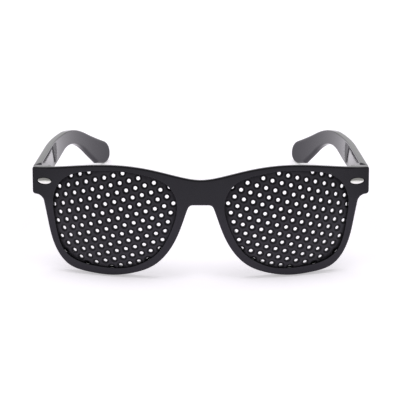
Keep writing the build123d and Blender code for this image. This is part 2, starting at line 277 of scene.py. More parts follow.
def even_loop(line: Points, inside_left: bool = True, step: float = LOOP_STEP) -> Points:
    """A closed loop with evenly spaced places, and its material on its left.

    Args:
        line: the places of the loop, in order.
        inside_left: True for an outline and False for an opening.
        step: the distance between places.

    Returns:
        The places of the loop.
    """
    shut = np.vstack([line, line[:1]])
    total = lengths(shut)[-1]
    count = max(FEWEST_PLACES, round(total / step))
    loop = at_lengths(shut, np.linspace(0, total, count + 1)[:-1])
    x, z = loop.T
    area = float(np.sum(x * np.roll(z, -1) - np.roll(x, -1) * z))
    return loop if (area > 0) == inside_left else loop[::-1]


def polygon(corners: Sequence, rounds: Sequence[float], step: float = LOOP_STEP) -> Points:
    """A loop of straight sides with rounded corners.

    Args:
        corners: the places of the corners, in order.
        rounds: the radius of each corner.
        step: the distance between places.

    Returns:
        The places of the loop.
    """
    sides = [straight(a, b) for a, b in zip(corners, [*corners[1:], corners[0]])]
    return even_loop(joined(sides, [*rounds[1:], rounds[0]], closed=True), step=step)


def rectangle(low: Sequence[float], high: Sequence[float], corner: float, step: float) -> Points:
    """A rounded rectangle between two corners, whose rounds have one radius."""
    (x0, z0), (x1, z1) = low, high
    return polygon([(x0, z0), (x1, z0), (x1, z1), (x0, z1)], [corner] * 4, step)


def inward(loop: Points) -> Points:
    """The way into the material at each place of a loop.

    Args:
        loop: the places of the loop.

    Returns:
        A way of length one for each place.
    """
    along = np.roll(loop, -1, axis=0) - np.roll(loop, 1, axis=0)
    along /= np.linalg.norm(along, axis=1)[:, None]
    return np.stack([-along[:, 1], along[:, 0]], axis=1)


def is_inside(places: Points, loops: Sequence[Points]) -> Points:
    """Tells which places lie inside an odd number of loops.

    Args:
        places: the places to test.
        loops: the loops.

    Returns:
        True or False for each place.
    """
    odd = np.zeros(len(places), bool)
    x, z = places[:, :1], places[:, 1:]
    for loop in loops:
        ax, az = loop.T
        bx, bz = np.roll(loop, -1, axis=0).T
        crosses = (az > z) != (bz > z)
        with np.errstate(divide="ignore", invalid="ignore"):
            where = ax + (z - az) * (bx - ax) / (bz - az)
        odd ^= (np.sum(crosses & (x < where), axis=1) % 2).astype(bool)
    return odd


def clear_of(places: Points, loops: Sequence[Points], distance: float) -> Points:
    """Tells which places keep a distance from the places of every loop.

    Args:
        places: the places to test.
        loops: the loops.
        distance: the distance to keep.

    Returns:
        True or False for each place.
    """
    keep = np.ones(len(places), bool)
    for loop in loops:
        gap = np.linalg.norm(places[:, None] - loop[None], axis=2).min(axis=1)
        keep &= gap > distance
    return keep


def filled(
    loops: Sequence[Points], pitch: float, extra: Points | None = None
) -> tuple[Points, list[tuple[int, ...]]]:
    """Fills the area between loops with triangles.

    Args:
        loops: an outline and the openings in it.
        pitch: the distance between the places of the grid inside.
        extra: more places to use inside, or None.

    Returns:
        The places inside, and the triangles, numbered over the loops' places and then these.
    """
    low, high = loops[0].min(axis=0), loops[0].max(axis=0)
    row = pitch * math.sqrt(3) / 2
    xs, zs = np.arange(low[0], high[0], pitch), np.arange(low[1], high[1], row)
    grid = np.array([(x + (k % 2) * pitch / 2, z) for k, z in enumerate(zs) for x in xs])
    grid = grid[is_inside(grid, loops) & clear_of(grid, loops, LOOP_STEP * RIM_CLEAR)]
    if extra is not None:
        clear = clear_of(extra, loops, LOOP_STEP * CLOSE_RIM_CLEAR)
        grid = grid[clear_of(grid, [extra], pitch * EXTRA_CLEAR)]
        grid = np.vstack([grid, extra[is_inside(extra, loops) & clear]])
    every = np.vstack([*loops, grid])
    edges, start = [], 0
    for loop in loops:
        n = len(loop)
        edges += [(start + k, start + (k + 1) % n) for k in range(n)]
        start += n
    spots = [Vector(p) for p in every]
    _, _, faces, origins, _, _ = delaunay_2d_cdt(spots, edges, [], 0, HAIR)
    source = [origin[0] if origin else -1 for origin in origins]
    triangles = np.array([[source[k] for k in face] for face in faces])
    kept = triangles[is_inside(every[triangles].mean(axis=1), loops)]
    return grid, [tuple(int(k) for k in triangle) for triangle in kept]


# Solids


@dataclass
class Solid:
    """The places and faces of a closed shape, as they are collected."""

    places: list[Points] = field(default_factory=list)
    faces: list[tuple[int, ...]] = field(default_factory=list)
    count: int = 0

    def add(self, places: Points) -> Points:
        """Adds places.

        Args:
            places: the places, one per line.

        Returns:
            Their numbers in the solid.
        """
        self.places.append(places)
        self.count += len(places)
        return np.arange(self.count - len(places), self.count)

    def band(self, first: Points, second: Points) -> None:
        """Adds a band of faces between two rings of equal count.

        Args:
            first: the numbers of one ring.
            second: the numbers of the other.
        """
        n = len(first)
        for k in range(n):
            after = (k + 1) % n
            corners = (first[k], first[after], second[after], second[k])
            self.faces.append(tuple(int(corner) for corner in corners))

    def cap(self, numbers: Points, triangles: Sequence[tuple[int, ...]]) -> None:
        """Adds triangles that are counted over a list of numbers."""
        self.faces += [tuple(int(numbers[k]) for k in t) for t in triangles]

    def take(self, other: "Solid") -> None:
        """Adds another solid as a separate shell.

        Args:
            other: the solid to add.
        """
        start = self.count
        self.places += other.places
        self.count += other.count
        self.faces += [tuple(k + start for k in face) for face in other.faces]

    def mesh(self, name: str) -> bpy.types.Mesh:
        """Makes the solid a mesh with its faces pointing outwards.

        Args:
            name: the mesh's name.

        Returns:
            The mesh, in the worn frame's millimetres.
        """
        made = bpy.data.meshes.new(name)
        made.from_pydata(np.vstack(self.places).tolist(), [], self.faces)
        work = bmesh.new()
        work.from_mesh(made)
        bmesh.ops.recalc_face_normals(work, faces=work.faces)
        work.to_mesh(made)
        work.free()
        return made


def amount(value: float | Depth, loop: Points) -> Points:
    """A size at each place of a loop, from one number or a rule."""
    return value(loop) if callable(value) else np.full(len(loop), float(value))


@dataclass
class Plate:
    """A wall between two faces, with a rounded edge round its outline and its openings.

    The outline lies in a flat pair of directions, and a face is given by its depth across them.
    """

    outline: Points
    near: Depth
    far: Depth
    place: Callable[[Points, Points], Points]
    near_round: float | Depth
    far_round: float | Depth
    openings: Sequence[Points] = ()
    far_depth: Depth | None = None     # of the far edge's round, where not as deep as wide
    opening_round: float | None = None
    lip: float = 0.0                   # by which an opening is narrower behind its groove
    support: float = 0.3               # from a round to the first ring on the face
    pitch: float = 1.3
    wall_steps: int = 2
    extra: Points | None = None        # more places on the far face
    near_pockets: Sequence[Pocket] = ()
    far_pockets: Sequence[Pocket] = ()
    groove: tuple[Depth, Depth, float] | None = None   # its two walls and its reach

    def rings(self, loop: Points) -> list[tuple[Points, Points]]:
        """The rings round a loop, from the near face to the far one.

        Args:
            loop: the outline or one of the openings.

        Returns:
            The flat places and the depths of each ring.
        """
        way = inward(loop)

        def ring(face: Depth, inset: Points, shift: Points) -> tuple[Points, Points]:
            """A ring on a face.

            Args:
                face: the depth of the face.
                inset: how far the ring lies in the material from the loop.
                shift: how far it lies off the face.

            Returns:
                The flat places and the depths of the ring.
            """
            flat = loop + way * inset[:, None]
            return flat, face(flat) + shift

        is_opening = loop is not self.outline
        near, far = amount(self.near_round, loop), amount(self.far_round, loop)
        if is_opening and self.opening_round is not None:
            near = far = amount(self.opening_round, loop)
        deep = far if is_opening or self.far_depth is None else amount(self.far_depth, loop)
        arc = [math.pi / 2 * k / EDGE_STEPS for k in range(EDGE_STEPS + 1)]
        rows = [ring(self.near, near + self.support, near * 0)]
        for t in arc:
            rows.append(ring(self.near, near * (1 - math.sin(t)), near * (1 - math.cos(t))))
        lip = 0.0
        if is_opening and self.groove is not None:
            lip = self.lip
            front, back, reach = self.groove
            floor, brink = loop + way * reach, loop - way * lip
            rows += [(loop, front(loop)), (floor, front(floor))]
            rows += [(floor, back(floor)), (brink, back(brink))]
        else:
            top, bottom = self.near(loop) + near, self.far(loop) - deep
            for k in range(1, self.wall_steps):
                rows.append((loop, top + (bottom - top) * k / self.wall_steps))
        for t in reversed(arc):
            rows.append(ring(self.far, far * (1 - math.sin(t)) - lip, -deep * (1 - math.cos(t))))
        rows.append(ring(self.far, far + self.support - lip, far * 0))
        return rows

    def close(
        self, solid: Solid, rims: list[tuple[Points, Points]], face: Depth, sign: int,
        pockets: Sequence[Pocket], extra: Points | None = None,
    ) -> None:
        """Closes one face between the rims, with its pockets.

        Args:
            solid: the solid to add to.
            rims: the flat places and numbers of each loop's last ring.
            face: the depth of the face.
            sign: 1 where the material lies at greater depths, -1 where at smaller ones.
            pockets: flat loops and their depths.
            extra: more places inside, or None.
        """
        for loop, depth in pockets:
            rim = solid.add(self.place(loop, face(loop)))
            foot = solid.add(self.place(loop, face(loop) + sign * depth))
            solid.band(rim, foot)
            inside, triangles = filled([loop], self.pitch)
            floor = solid.add(self.place(inside, face(inside) + sign * depth))
            solid.cap(np.concatenate([foot, floor]), triangles)
            rims.append((loop, rim))
        inside, triangles = filled([flat for flat, _ in rims], self.pitch, extra)
        middle = solid.add(self.place(inside, face(inside)))
        solid.cap(np.concatenate([*[numbers for _, numbers in rims], middle]), triangles)

    def solid(self) -> Solid:
        """Builds the plate.

        Returns:
            The plate as a closed solid.
        """
        made = Solid()
        near_rims, far_rims = [], []
        for loop in [self.outline, *self.openings]:
            rows = self.rings(loop)
            numbers = [made.add(self.place(flat, depth)) for flat, depth in rows]
            for first, second in zip(numbers, numbers[1:]):
                made.band(first, second)
            near_rims.append((rows[0][0], numbers[0]))
            far_rims.append((rows[-1][0], numbers[-1]))
        self.close(made, near_rims, self.near, 1, self.near_pockets)
        self.close(made, far_rims, self.far, -1, self.far_pockets, self.extra)
        return made


def upright(flat: Points, depth: Points) -> Points:
    """Places from X and Z, with their depth along Y."""
    return np.stack([flat[:, 0], depth, flat[:, 1]], axis=1)


def sideways(flat: Points, depth: Points) -> Points:
    """Places from Y and Z, with their depth inward from the wearer's left."""
    return np.stack([-depth, flat[:, 0], flat[:, 1]], axis=1)


def level(value: float) -> Depth:
    """A flat face at one depth."""
    return lambda flat: np.full(len(flat), value)


def lathe(profile: Sequence[Pair], spot: Sequence[float]) -> Solid:
    """An upright turned shape.

    Args:
        profile: radius and height pairs, once round the section.
        spot: the place of its axis at height zero.

    Returns:
        The closed solid.
    """
    made = Solid()
    turn = np.linspace(0, FULL_TURN, LATHE_STEPS + 1)[:-1]
    rings = []
    for radius, height in profile:
        x, y = spot[0] + radius * np.cos(turn), spot[1] + radius * np.sin(turn)
        rings.append(made.add(np.stack([x, y, np.full(LATHE_STEPS, spot[2] + height)], axis=1)))
    for first, second in zip(rings, rings[1:] + rings[:1]):
        made.band(first, second)
    return made


def round_box(low: Sequence[float], high: Sequence[float], radius: float) -> Solid:
    """A box with its edges rounded.

    Args:
        low: its lowest corner.
        high: its highest corner.
        radius: the radius of the edges of its two faces across Y.

    Returns:
        The closed solid.
    """
    (x0, y0, z0), (x1, y1, z1) = low, high
    outline = rectangle((x0, z0), (x1, z1), corner=radius * 2, step=0.2)
    return Plate(outline, level(y0), level(y1), upright, radius, radius, support=0.05).solid()


def turned(solid: Solid, centre: Sequence[float], angle: float) -> Solid:
    """A solid turned about an upright axis.

    Args:
        solid: the solid.
        centre: where the axis stands, across and back.
        angle: the angle to turn it by.

    Returns:
        The turned solid.
    """
    c, s = math.cos(math.radians(angle)), math.sin(math.radians(angle))
    spun = []
    for places in solid.places:
        x, y = places[:, 0] - centre[0], places[:, 1] - centre[1]
        across, back = centre[0] + x * c - y * s, centre[1] + x * s + y * c
        spun.append(np.stack([across, back, places[:, 2]], axis=1))
    return Solid(spun, solid.faces, solid.count)


def combined(meshes: Sequence[bpy.types.Mesh]) -> bpy.types.Mesh:
    """Several meshes as one.

    Args:
        meshes: the meshes to join.

    Returns:
        The joined mesh, without materials.
    """
    work = bmesh.new()
    for mesh in meshes:
        work.from_mesh(mesh)
    made = bpy.data.meshes.new("combined")
    work.to_mesh(made)
    work.free()
    return made


# Node trees

NODE_SPACE = (180, 260)    # across and down, from one node to the next on a board
NODES_ABREAST = 12
INPUT_NUMBER = "at_"       # starts the name of an input that is given by its number


@dataclass
class Board:
    """Places and links the nodes of one tree."""

    tree: bpy.types.NodeTree

    def feed(self, socket: bpy.types.NodeSocket, value: object) -> None:
        """Links a socket to another one, or sets its value.

        Args:
            socket: the input to feed.
            value: another node's output, or a plain value.
        """
        if isinstance(value, bpy.types.NodeSocket):
            self.tree.links.new(value, socket)
        else:
            socket.default_value = value

    def add(self, kind: str, settings: dict | None = None, **inputs: object) -> bpy.types.Node:
        """Adds a node.

        Args:
            kind: the node's type.
            settings: properties of the node.
            **inputs: values or sockets by input name, with spaces as underscores; `at_N` is
                input N.

        Returns:
            The node.
        """
        node = self.tree.nodes.new(kind)
        row, column = divmod(len(self.tree.nodes), NODES_ABREAST)
        node.location = (NODE_SPACE[0] * column, -NODE_SPACE[1] * row)
        for name, value in (settings or {}).items():
            setattr(node, name, value)
        for name, value in inputs.items():
            numbered = name.startswith(INPUT_NUMBER)
            key = int(name[len(INPUT_NUMBER):]) if numbered else name.replace("_", " ")
            self.feed(node.inputs[key], value)
        return node

    def first(
        self, kind: str, settings: dict | None = None, **inputs: object
    ) -> bpy.types.NodeSocket:
        """Adds a node as `add` does, and returns its first output."""
        return self.add(kind, settings, **inputs).outputs[0]

    def math(self, operation: str, *values: object) -> bpy.types.NodeSocket:
        """Adds a sum or another rule of arithmetic, and returns its result."""
        inputs = {f"{INPUT_NUMBER}{k}": value for k, value in enumerate(values)}
        return self.first("ShaderNodeMath", {"operation": operation}, **inputs)

    def ramp(self, value: bpy.types.NodeSocket, given: Pair, wanted: Pair) -> bpy.types.NodeSocket:
        """Adds a node that turns one range of values into another.

        Args:
            value: the value to turn.
            given: both ends of its range.
            wanted: what these ends become; values beyond them stay at the ends.

        Returns:
            The result.
        """
        return self.first(
            "ShaderNodeMapRange", Value=value, at_1=given[0], at_2=given[1], at_3=wanted[0],
            at_4=wanted[1],
        )

    def noise(
        self, where: bpy.types.NodeSocket, scale: float, detail: float, roughness: float
    ) -> bpy.types.NodeSocket:
        """Adds a cloudy pattern, and returns its value."""
        return self.first(
            "ShaderNodeTexNoise", Vector=where, Scale=scale, Detail=detail, Roughness=roughness
        )


def new_object(name: str, data: bpy.types.ID) -> bpy.types.Object:
    """Makes an object of the scene.

    Args:
        name: its name.
        data: its mesh, lamp or camera.

    Returns:
        The object.
    """
    made = bpy.data.objects.new(name, data)
    bpy.context.scene.collection.objects.link(made)
    return made


def new_tree(
    name: str, **inputs: Sequence[str]
) -> tuple[Board, bpy.types.bpy_prop_collection]:
    """Makes a Geometry Nodes tree with one mesh input and one mesh output.

    Args:
        name: the tree's name.
        **inputs: the names of the other inputs, by their kind.

    Returns:
        The board that holds the tree, and the sockets that its inputs come from.
    """
    tree = bpy.data.node_groups.new(name, "GeometryNodeTree")
    tree.interface.new_socket("Geometry", in_out="INPUT", socket_type="NodeSocketGeometry")
    for kind, labels in inputs.items():
        for label in labels:
            tree.interface.new_socket(label, in_out="INPUT", socket_type=f"NodeSocket{kind}")
    tree.interface.new_socket("Geometry", in_out="OUTPUT", socket_type="NodeSocketGeometry")
    board = Board(tree)
    return board, board.add("NodeGroupInput").outputs


def applied(
    source: bpy.types.Object, tree: bpy.types.NodeTree, values: dict[str, object]
) -> bpy.types.Mesh:
    """Runs a tree on an object and keeps the result.

    Args:
        source: the object that the tree starts from.
        tree: the Geometry Nodes tree.
        values: the tree's inputs, by name.

    Returns:
        The result as a plain mesh.
    """
    modifier = source.modifiers.new("Made", "NODES")
    modifier.node_group = tree
    sockets = {s.name: s.identifier for s in tree.interface.items_tree if s.in_out == "INPUT"}
    for name, value in values.items():
        modifier[sockets[name]] = value
    bpy.context.view_layer.update()
    graph = bpy.context.evaluated_depsgraph_get()
    made = bpy.data.meshes.new_from_object(source.evaluated_get(graph))
    source.modifiers.remove(modifier)
    return made


def marker_object(name: str, places: Points, ways: Points) -> bpy.types.Object:
    """Marks the places where a tree sets its pieces.

    Args:
        name: the object's name.
        places: the places, one per line.
        ways: the way that a piece's Z takes at each place.

    Returns:
        An object of bare places with the attribute `way`.
    """
    mesh = bpy.data.meshes.new(name)
    mesh.from_pydata(places.tolist(), [], [])
    way = mesh.attributes.new("way", "FLOAT_VECTOR", "POINT")
    way.data.foreach_set("vector", ways.astype(np.float32).ravel())
    return new_object(name, mesh)


def set_out(
    board: Board, markers: bpy.types.NodeSocket, piece: bpy.types.NodeSocket
) -> bpy.types.NodeSocket:
    """Adds nodes that set a piece on every marker, with its Z along the marker's way.

    Args:
        board: the board that holds the tree.
        markers: the markers' mesh.
        piece: the piece.

    Returns:
        The placed pieces, made real.
    """
    way = board.first("GeometryNodeInputNamedAttribute", {"data_type": "FLOAT_VECTOR"}, Name="way")
    turn = board.first("FunctionNodeAlignRotationToVector", {"axis": "Z"}, Vector=way)
    points = board.first("GeometryNodeMeshToPoints", at_0=markers)
    spread = board.first(
        "GeometryNodeInstanceOnPoints", Points=points, Instance=piece, Rotation=turn
    )
    return board.first("GeometryNodeRealizeInstances", at_0=spread)


def finish_tree(
    board: Board, shape: bpy.types.NodeSocket, material: bpy.types.NodeSocket,
    where: object = True,
) -> bpy.types.NodeTree:
    """Ends a tree with its instances made real and its material set.

    Args:
        board: the board that holds the tree.
        shape: the finished shape.
        material: the material that it gets.
        where: which faces get it, all of them if left out.

    Returns:
        The finished tree.
    """
    real = board.first("GeometryNodeRealizeInstances", at_0=shape)
    dressed = board.first(
        "GeometryNodeSetMaterial", Geometry=real, Material=material, Selection=where
    )
    board.add("NodeGroupOutput", Geometry=dressed)
    return board.tree


HOLE_SIDES = 28
DISH_FOOT = 0.9       # of the hole's radius, at the bottom of the dish round it


def perforation_tree() -> bpy.types.NodeTree:
    """Makes the tree that pierces a plate, and dishes its face round every hole.

    Returns:
        The tree. The plate and the walls of its holes keep a material each.
    """
    board, given = new_tree(
        "Perforations", Object=("Bores", "Dishes"),
        Float=("Bore", "Bore Length", "Dish", "Dish Length"),
        Material=("Wall Material", "Material"),
    )
    drill = board.first(
        "GeometryNodeMeshCylinder", Vertices=HOLE_SIDES, Radius=given["Bore"],
        Depth=given["Bore Length"],
    )
    cone = board.first(
        "GeometryNodeMeshCone", Vertices=HOLE_SIDES, Depth=given["Dish Length"],
        Radius_Top=board.math("MULTIPLY", given["Bore"], DISH_FOOT), Radius_Bottom=given["Dish"],
    )
    plate = board.first(
        "GeometryNodeSetMaterial", Geometry=given["Geometry"], Material=given["Material"]
    )
    pierced = board.add(
        "GeometryNodeMeshBoolean", {"operation": "DIFFERENCE", "solver": "MANIFOLD"}, at_0=plate
    )
    for shape, label in ((drill, "Bores"), (cone, "Dishes")):
        walled = board.first(
            "GeometryNodeSetMaterial", Geometry=shape, Material=given["Wall Material"]
        )
        markers = board.add("GeometryNodeObjectInfo", Object=given[label]).outputs["Geometry"]
        board.feed(pierced.inputs[1], set_out(board, markers, walled))
    # The walls of the bores and dishes keep the darker material: painted shade inside the holes.
    walls = board.first("GeometryNodeMaterialSelection", Material=given["Wall Material"])
    return finish_tree(board, pierced.outputs["Mesh"], given["Wall Material"], walls)


HEAD_SIDES, HEAD_RINGS, HEAD_ROWS = 36, 5, 6
HEAD_SHRINK, HEAD_SHRINK_POWER = 0.16, 5.0    # of a head's radius, towards its top
SHANK_SIDES = 24
SHANK_SINK = -0.48                            # of a shank's length, from the head to its middle
SLOT_BAR = (3.0, 2.0)                         # head radii long, and slot depths high


def fastener_tree() -> bpy.types.NodeTree:
    """Makes the tree that sets a headed pin on every marker, with a slot across its head if asked.

    Returns:
        The tree.
    """
    board, given = new_tree(
        "Fasteners", Bool=("Slotted",), Material=("Material",),
        Float=("Head Radius", "Head Height", "Crown", "Shank Radius", "Shank Length",
               "Slot Width", "Slot Depth"),
    )
    math_of = board.math
    blank = board.first(
        "GeometryNodeMeshCylinder", {"fill_type": "TRIANGLE_FAN"}, Vertices=HEAD_SIDES,
        Side_Segments=HEAD_ROWS, Fill_Segments=HEAD_RINGS, Radius=1.0, Depth=1.0,
    )
    spot = board.add("ShaderNodeSeparateXYZ", Vector=board.first("GeometryNodeInputPosition"))
    x, y = spot.outputs["X"], spot.outputs["Y"]
    out = math_of("ADD", math_of("MULTIPLY", x, x), math_of("MULTIPLY", y, y))
    share = math_of("ADD", spot.outputs["Z"], 0.5)
    dome = math_of("MULTIPLY", math_of("SUBTRACT", 1.0, out), share)
    crown = math_of("MULTIPLY", dome, given["Crown"])
    height = math_of("ADD", math_of("MULTIPLY", share, given["Head Height"]), crown)
    taper = math_of("MULTIPLY", math_of("POWER", share, HEAD_SHRINK_POWER), HEAD_SHRINK)
    radius = math_of("MULTIPLY", math_of("SUBTRACT", 1.0, taper), given["Head Radius"])
    shaped = board.first(
        "ShaderNodeCombineXYZ", X=math_of("MULTIPLY", x, radius),
        Y=math_of("MULTIPLY", y, radius), Z=height,
    )
    head = board.first("GeometryNodeSetPosition", Geometry=blank, Position=shaped)
    bar_size = board.first(
        "ShaderNodeCombineXYZ", X=math_of("MULTIPLY", given["Head Radius"], SLOT_BAR[0]),
        Y=given["Slot Width"], Z=math_of("MULTIPLY", given["Slot Depth"], SLOT_BAR[1]),
    )
    bar = board.first("GeometryNodeMeshCube", Size=bar_size)
    lift = board.first(
        "ShaderNodeCombineXYZ", Z=math_of("ADD", given["Head Height"], given["Crown"])
    )
    raised = board.first("GeometryNodeTransform", Geometry=bar, Translation=lift)
    cut = board.first(
        "GeometryNodeMeshBoolean", {"operation": "DIFFERENCE", "solver": "EXACT"}, at_0=head,
        at_1=raised,
    )
    either = board.first(
        "GeometryNodeSwitch", {"input_type": "GEOMETRY"}, Switch=given["Slotted"], at_1=head,
        at_2=cut,
    )
    pin = board.first(
        "GeometryNodeMeshCylinder", Vertices=SHANK_SIDES, Radius=given["Shank Radius"],
        Depth=given["Shank Length"],
    )
    sunk = board.first(
        "ShaderNodeCombineXYZ", Z=math_of("MULTIPLY", given["Shank Length"], SHANK_SINK)
    )
    shank = board.first("GeometryNodeTransform", Geometry=pin, Translation=sunk)
    whole = board.add("GeometryNodeJoinGeometry")
    for shape in (shank, either):
        board.feed(whole.inputs[0], shape)
    placed = set_out(board, given["Geometry"], whole.outputs[0])
    return finish_tree(board, placed, given["Material"])


# Finishes

WAVES = (4.0, 0.55)                # detail and roughness of a pattern, here and below
HANDLING = (7.0, 0.65)
SCRATCHES = (3.0, 0.5)
GRAIN = (3.0, 0.6)
CAST = (5.0, 0.6)
POLISH = (2.0, 0.5)
HANDLING_FINENESS = 2.6            # patches of handling across one wave of the face
HANDLING_RANGE = (0.35, 0.7)       # of its pattern, from least to most dull
SCRATCH_TURN = (0.3, 0.2, 0.5)
SCRATCH_STRETCH = (1.0, 14.0, 9.0)
SCRATCH_SCALE = 260.0
SCRATCH_RANGE = (0.66, 0.78)       # of its pattern, from no scratch to a full one
SCRATCH_DULLNESS = 0.6             # of the range of roughness
PLASTIC_IOR = 1.5
CAST_SCALE = 900.0
CAST_RANGE = (0.3, 0.7)
POLISH_STRETCH = (0.05, 1.0, 1.0)


@dataclass(frozen=True)
class Finish:
    """A surface in two close tones, with its own range of roughness."""

    name: str
    slot: str
    dark: Triple
    light: Triple
    roughness: Pair

    def start(self) -> tuple[bpy.types.Material, Board, bpy.types.Node, bpy.types.NodeSocket]:
        """Makes an empty material.

        Returns:
            The material, its board, its shader, and the place on the piece that patterns read.
        """
        made = bpy.data.materials.new(self.name)
        made.use_nodes = True
        board = Board(made.node_tree)
        shader = made.node_tree.nodes["Principled BSDF"]
        return made, board, shader, board.add("ShaderNodeTexCoord").outputs["Object"]

    def colour(self, board: Board, cloud: bpy.types.NodeSocket) -> bpy.types.NodeSocket:
        """Adds the mix of both tones, and returns the colour."""
        mix = board.add(
            "ShaderNodeMix", {"data_type": "RGBA"}, Factor=cloud, at_6=(*self.dark, 1),
            at_7=(*self.light, 1),
        )
        return mix.outputs[2]


@dataclass(frozen=True)
class Plastic(Finish):
    """Black moulded plastic: glossy from a polished mould, or satin from a fine-blasted one.

    Lengths of the pattern are in millimetres.
    """

    specular: float
    grain_height: float
    grain: float = 0.12
    flow: float = 14.0             # across the slow waves of a moulded face
    flow_height: float = 0.004
    tint: Triple = (0.96, 0.92, 1.08)

    def material(self) -> bpy.types.Material:
        """Makes the finish a material.

        Returns:
            The material, on Object coordinates.
        """
        made, board, shader, spot = self.start()
        flow, grain = self.flow * MM, self.grain * MM
        cloud = board.noise(spot, 1 / flow, *WAVES)
        handled = board.noise(spot, HANDLING_FINENESS / flow, *HANDLING)
        stretch = board.first(
            "ShaderNodeMapping", Vector=spot, Rotation=SCRATCH_TURN, Scale=SCRATCH_STRETCH
        )
        hair = board.noise(stretch, SCRATCH_SCALE, *SCRATCHES)
        scratch = board.ramp(hair, SCRATCH_RANGE, (0.0, 1.0))
        fine = board.noise(spot, 1 / grain, *GRAIN)
        low, high = self.roughness
        dull = board.ramp(handled, HANDLING_RANGE, (low, high))
        worn = board.math("MULTIPLY_ADD", scratch, (high - low) * SCRATCH_DULLNESS, dull)
        slow = board.first(
            "ShaderNodeBump", Strength=1.0, Distance=self.flow_height * MM, Height=cloud
        )
        close = board.first(
            "ShaderNodeBump", Strength=1.0, Distance=self.grain_height * MM, Height=fine,
            Normal=slow,
        )
        values = {
            "Base Color": self.colour(board, cloud), "Roughness": worn, "Normal": close,
            "IOR": PLASTIC_IOR, "Specular IOR Level": self.specular,
            "Specular Tint": (*self.tint, 1),
        }
        for name, value in values.items():
            board.feed(shader.inputs[name], value)
        return made


@dataclass(frozen=True)
class Metal(Finish):
    """Bare or plated metal with a directional polish.

    Lengths of the pattern are in millimetres.
    """

    line: float = 0.05             # across the lines of the polish
    line_height: float = 0.0004

    def material(self) -> bpy.types.Material:
        """Makes the finish a material.

        Returns:
            The material, on Object coordinates.
        """
        made, board, shader, spot = self.start()
        cloud = board.noise(spot, CAST_SCALE, *CAST)
        along = board.first("ShaderNodeMapping", Vector=spot, Scale=POLISH_STRETCH)
        lines = board.noise(along, 1 / (self.line * MM), *POLISH)
        bump = board.first(
            "ShaderNodeBump", Strength=1.0, Distance=self.line_height * MM, Height=lines
        )
        values = {
            "Base Color": self.colour(board, cloud), "Metallic": 1.0, "Normal": bump,
            "Roughness": board.ramp(cloud, CAST_RANGE, self.roughness),
        }
        for name, value in values.items():
            board.feed(shader.inputs[name], value)
        return made


GLOSS_BLACK = Plastic(
    "Gloss_black", "front_plastic", (0.0055, 0.0052, 0.0064), (0.0075, 0.0072, 0.0086),
    (0.09, 0.2), specular=0.37, grain_height=0.0002, flow_height=0.0012,
)
ARM_BLACK = Plastic(
    "Arm_gloss_black", "temple_plastic", (0.0035, 0.0034, 0.004), (0.0055, 0.0053, 0.0062),
    (0.025, 0.07), specular=0.45, grain_height=0.00008, flow_height=0.0006,
)
SATIN_BLACK = Plastic(
    "Satin_black", "lens_plastic", (0.031, 0.029, 0.0345), (0.039, 0.037, 0.043),
    (0.42, 0.55), specular=0.28, grain_height=0.0016, grain=0.08,
)
# Painted shade: the walls of the holes and of the dishes round them get a much darker black than
# the lens face, so every hole shows a dark ring whatever the light.
HOLE_PAINTED_SHADE = Plastic(
    "Hole_black", "lens_plastic", (0.008, 0.0075, 0.009), (0.012, 0.0115, 0.013),
    (0.35, 0.5), specular=0.15, grain_height=0.001, grain=0.06,
)
CHROME = Metal(
    "Bright_chrome", "trim_metal", (0.72, 0.71, 0.69), (0.86, 0.85, 0.82), (0.07, 0.16)
)
STEEL = Metal(
    "Brushed_steel", "hinge_metal", (0.42, 0.41, 0.4), (0.58, 0.57, 0.55), (0.2, 0.36),
    line=0.08, line_height=0.001,
)


# The glasses

NO_SLOT = (0.1, 0.1)


@dataclass(frozen=True)
class Fastener:
    """A headed pin."""

    head: Pair                   # its radius and height
    crown: float                 # by which the head's middle stands above that height
    shank: Pair                  # its radius and length
    slot: Pair | None = None     # its width and depth, across the head


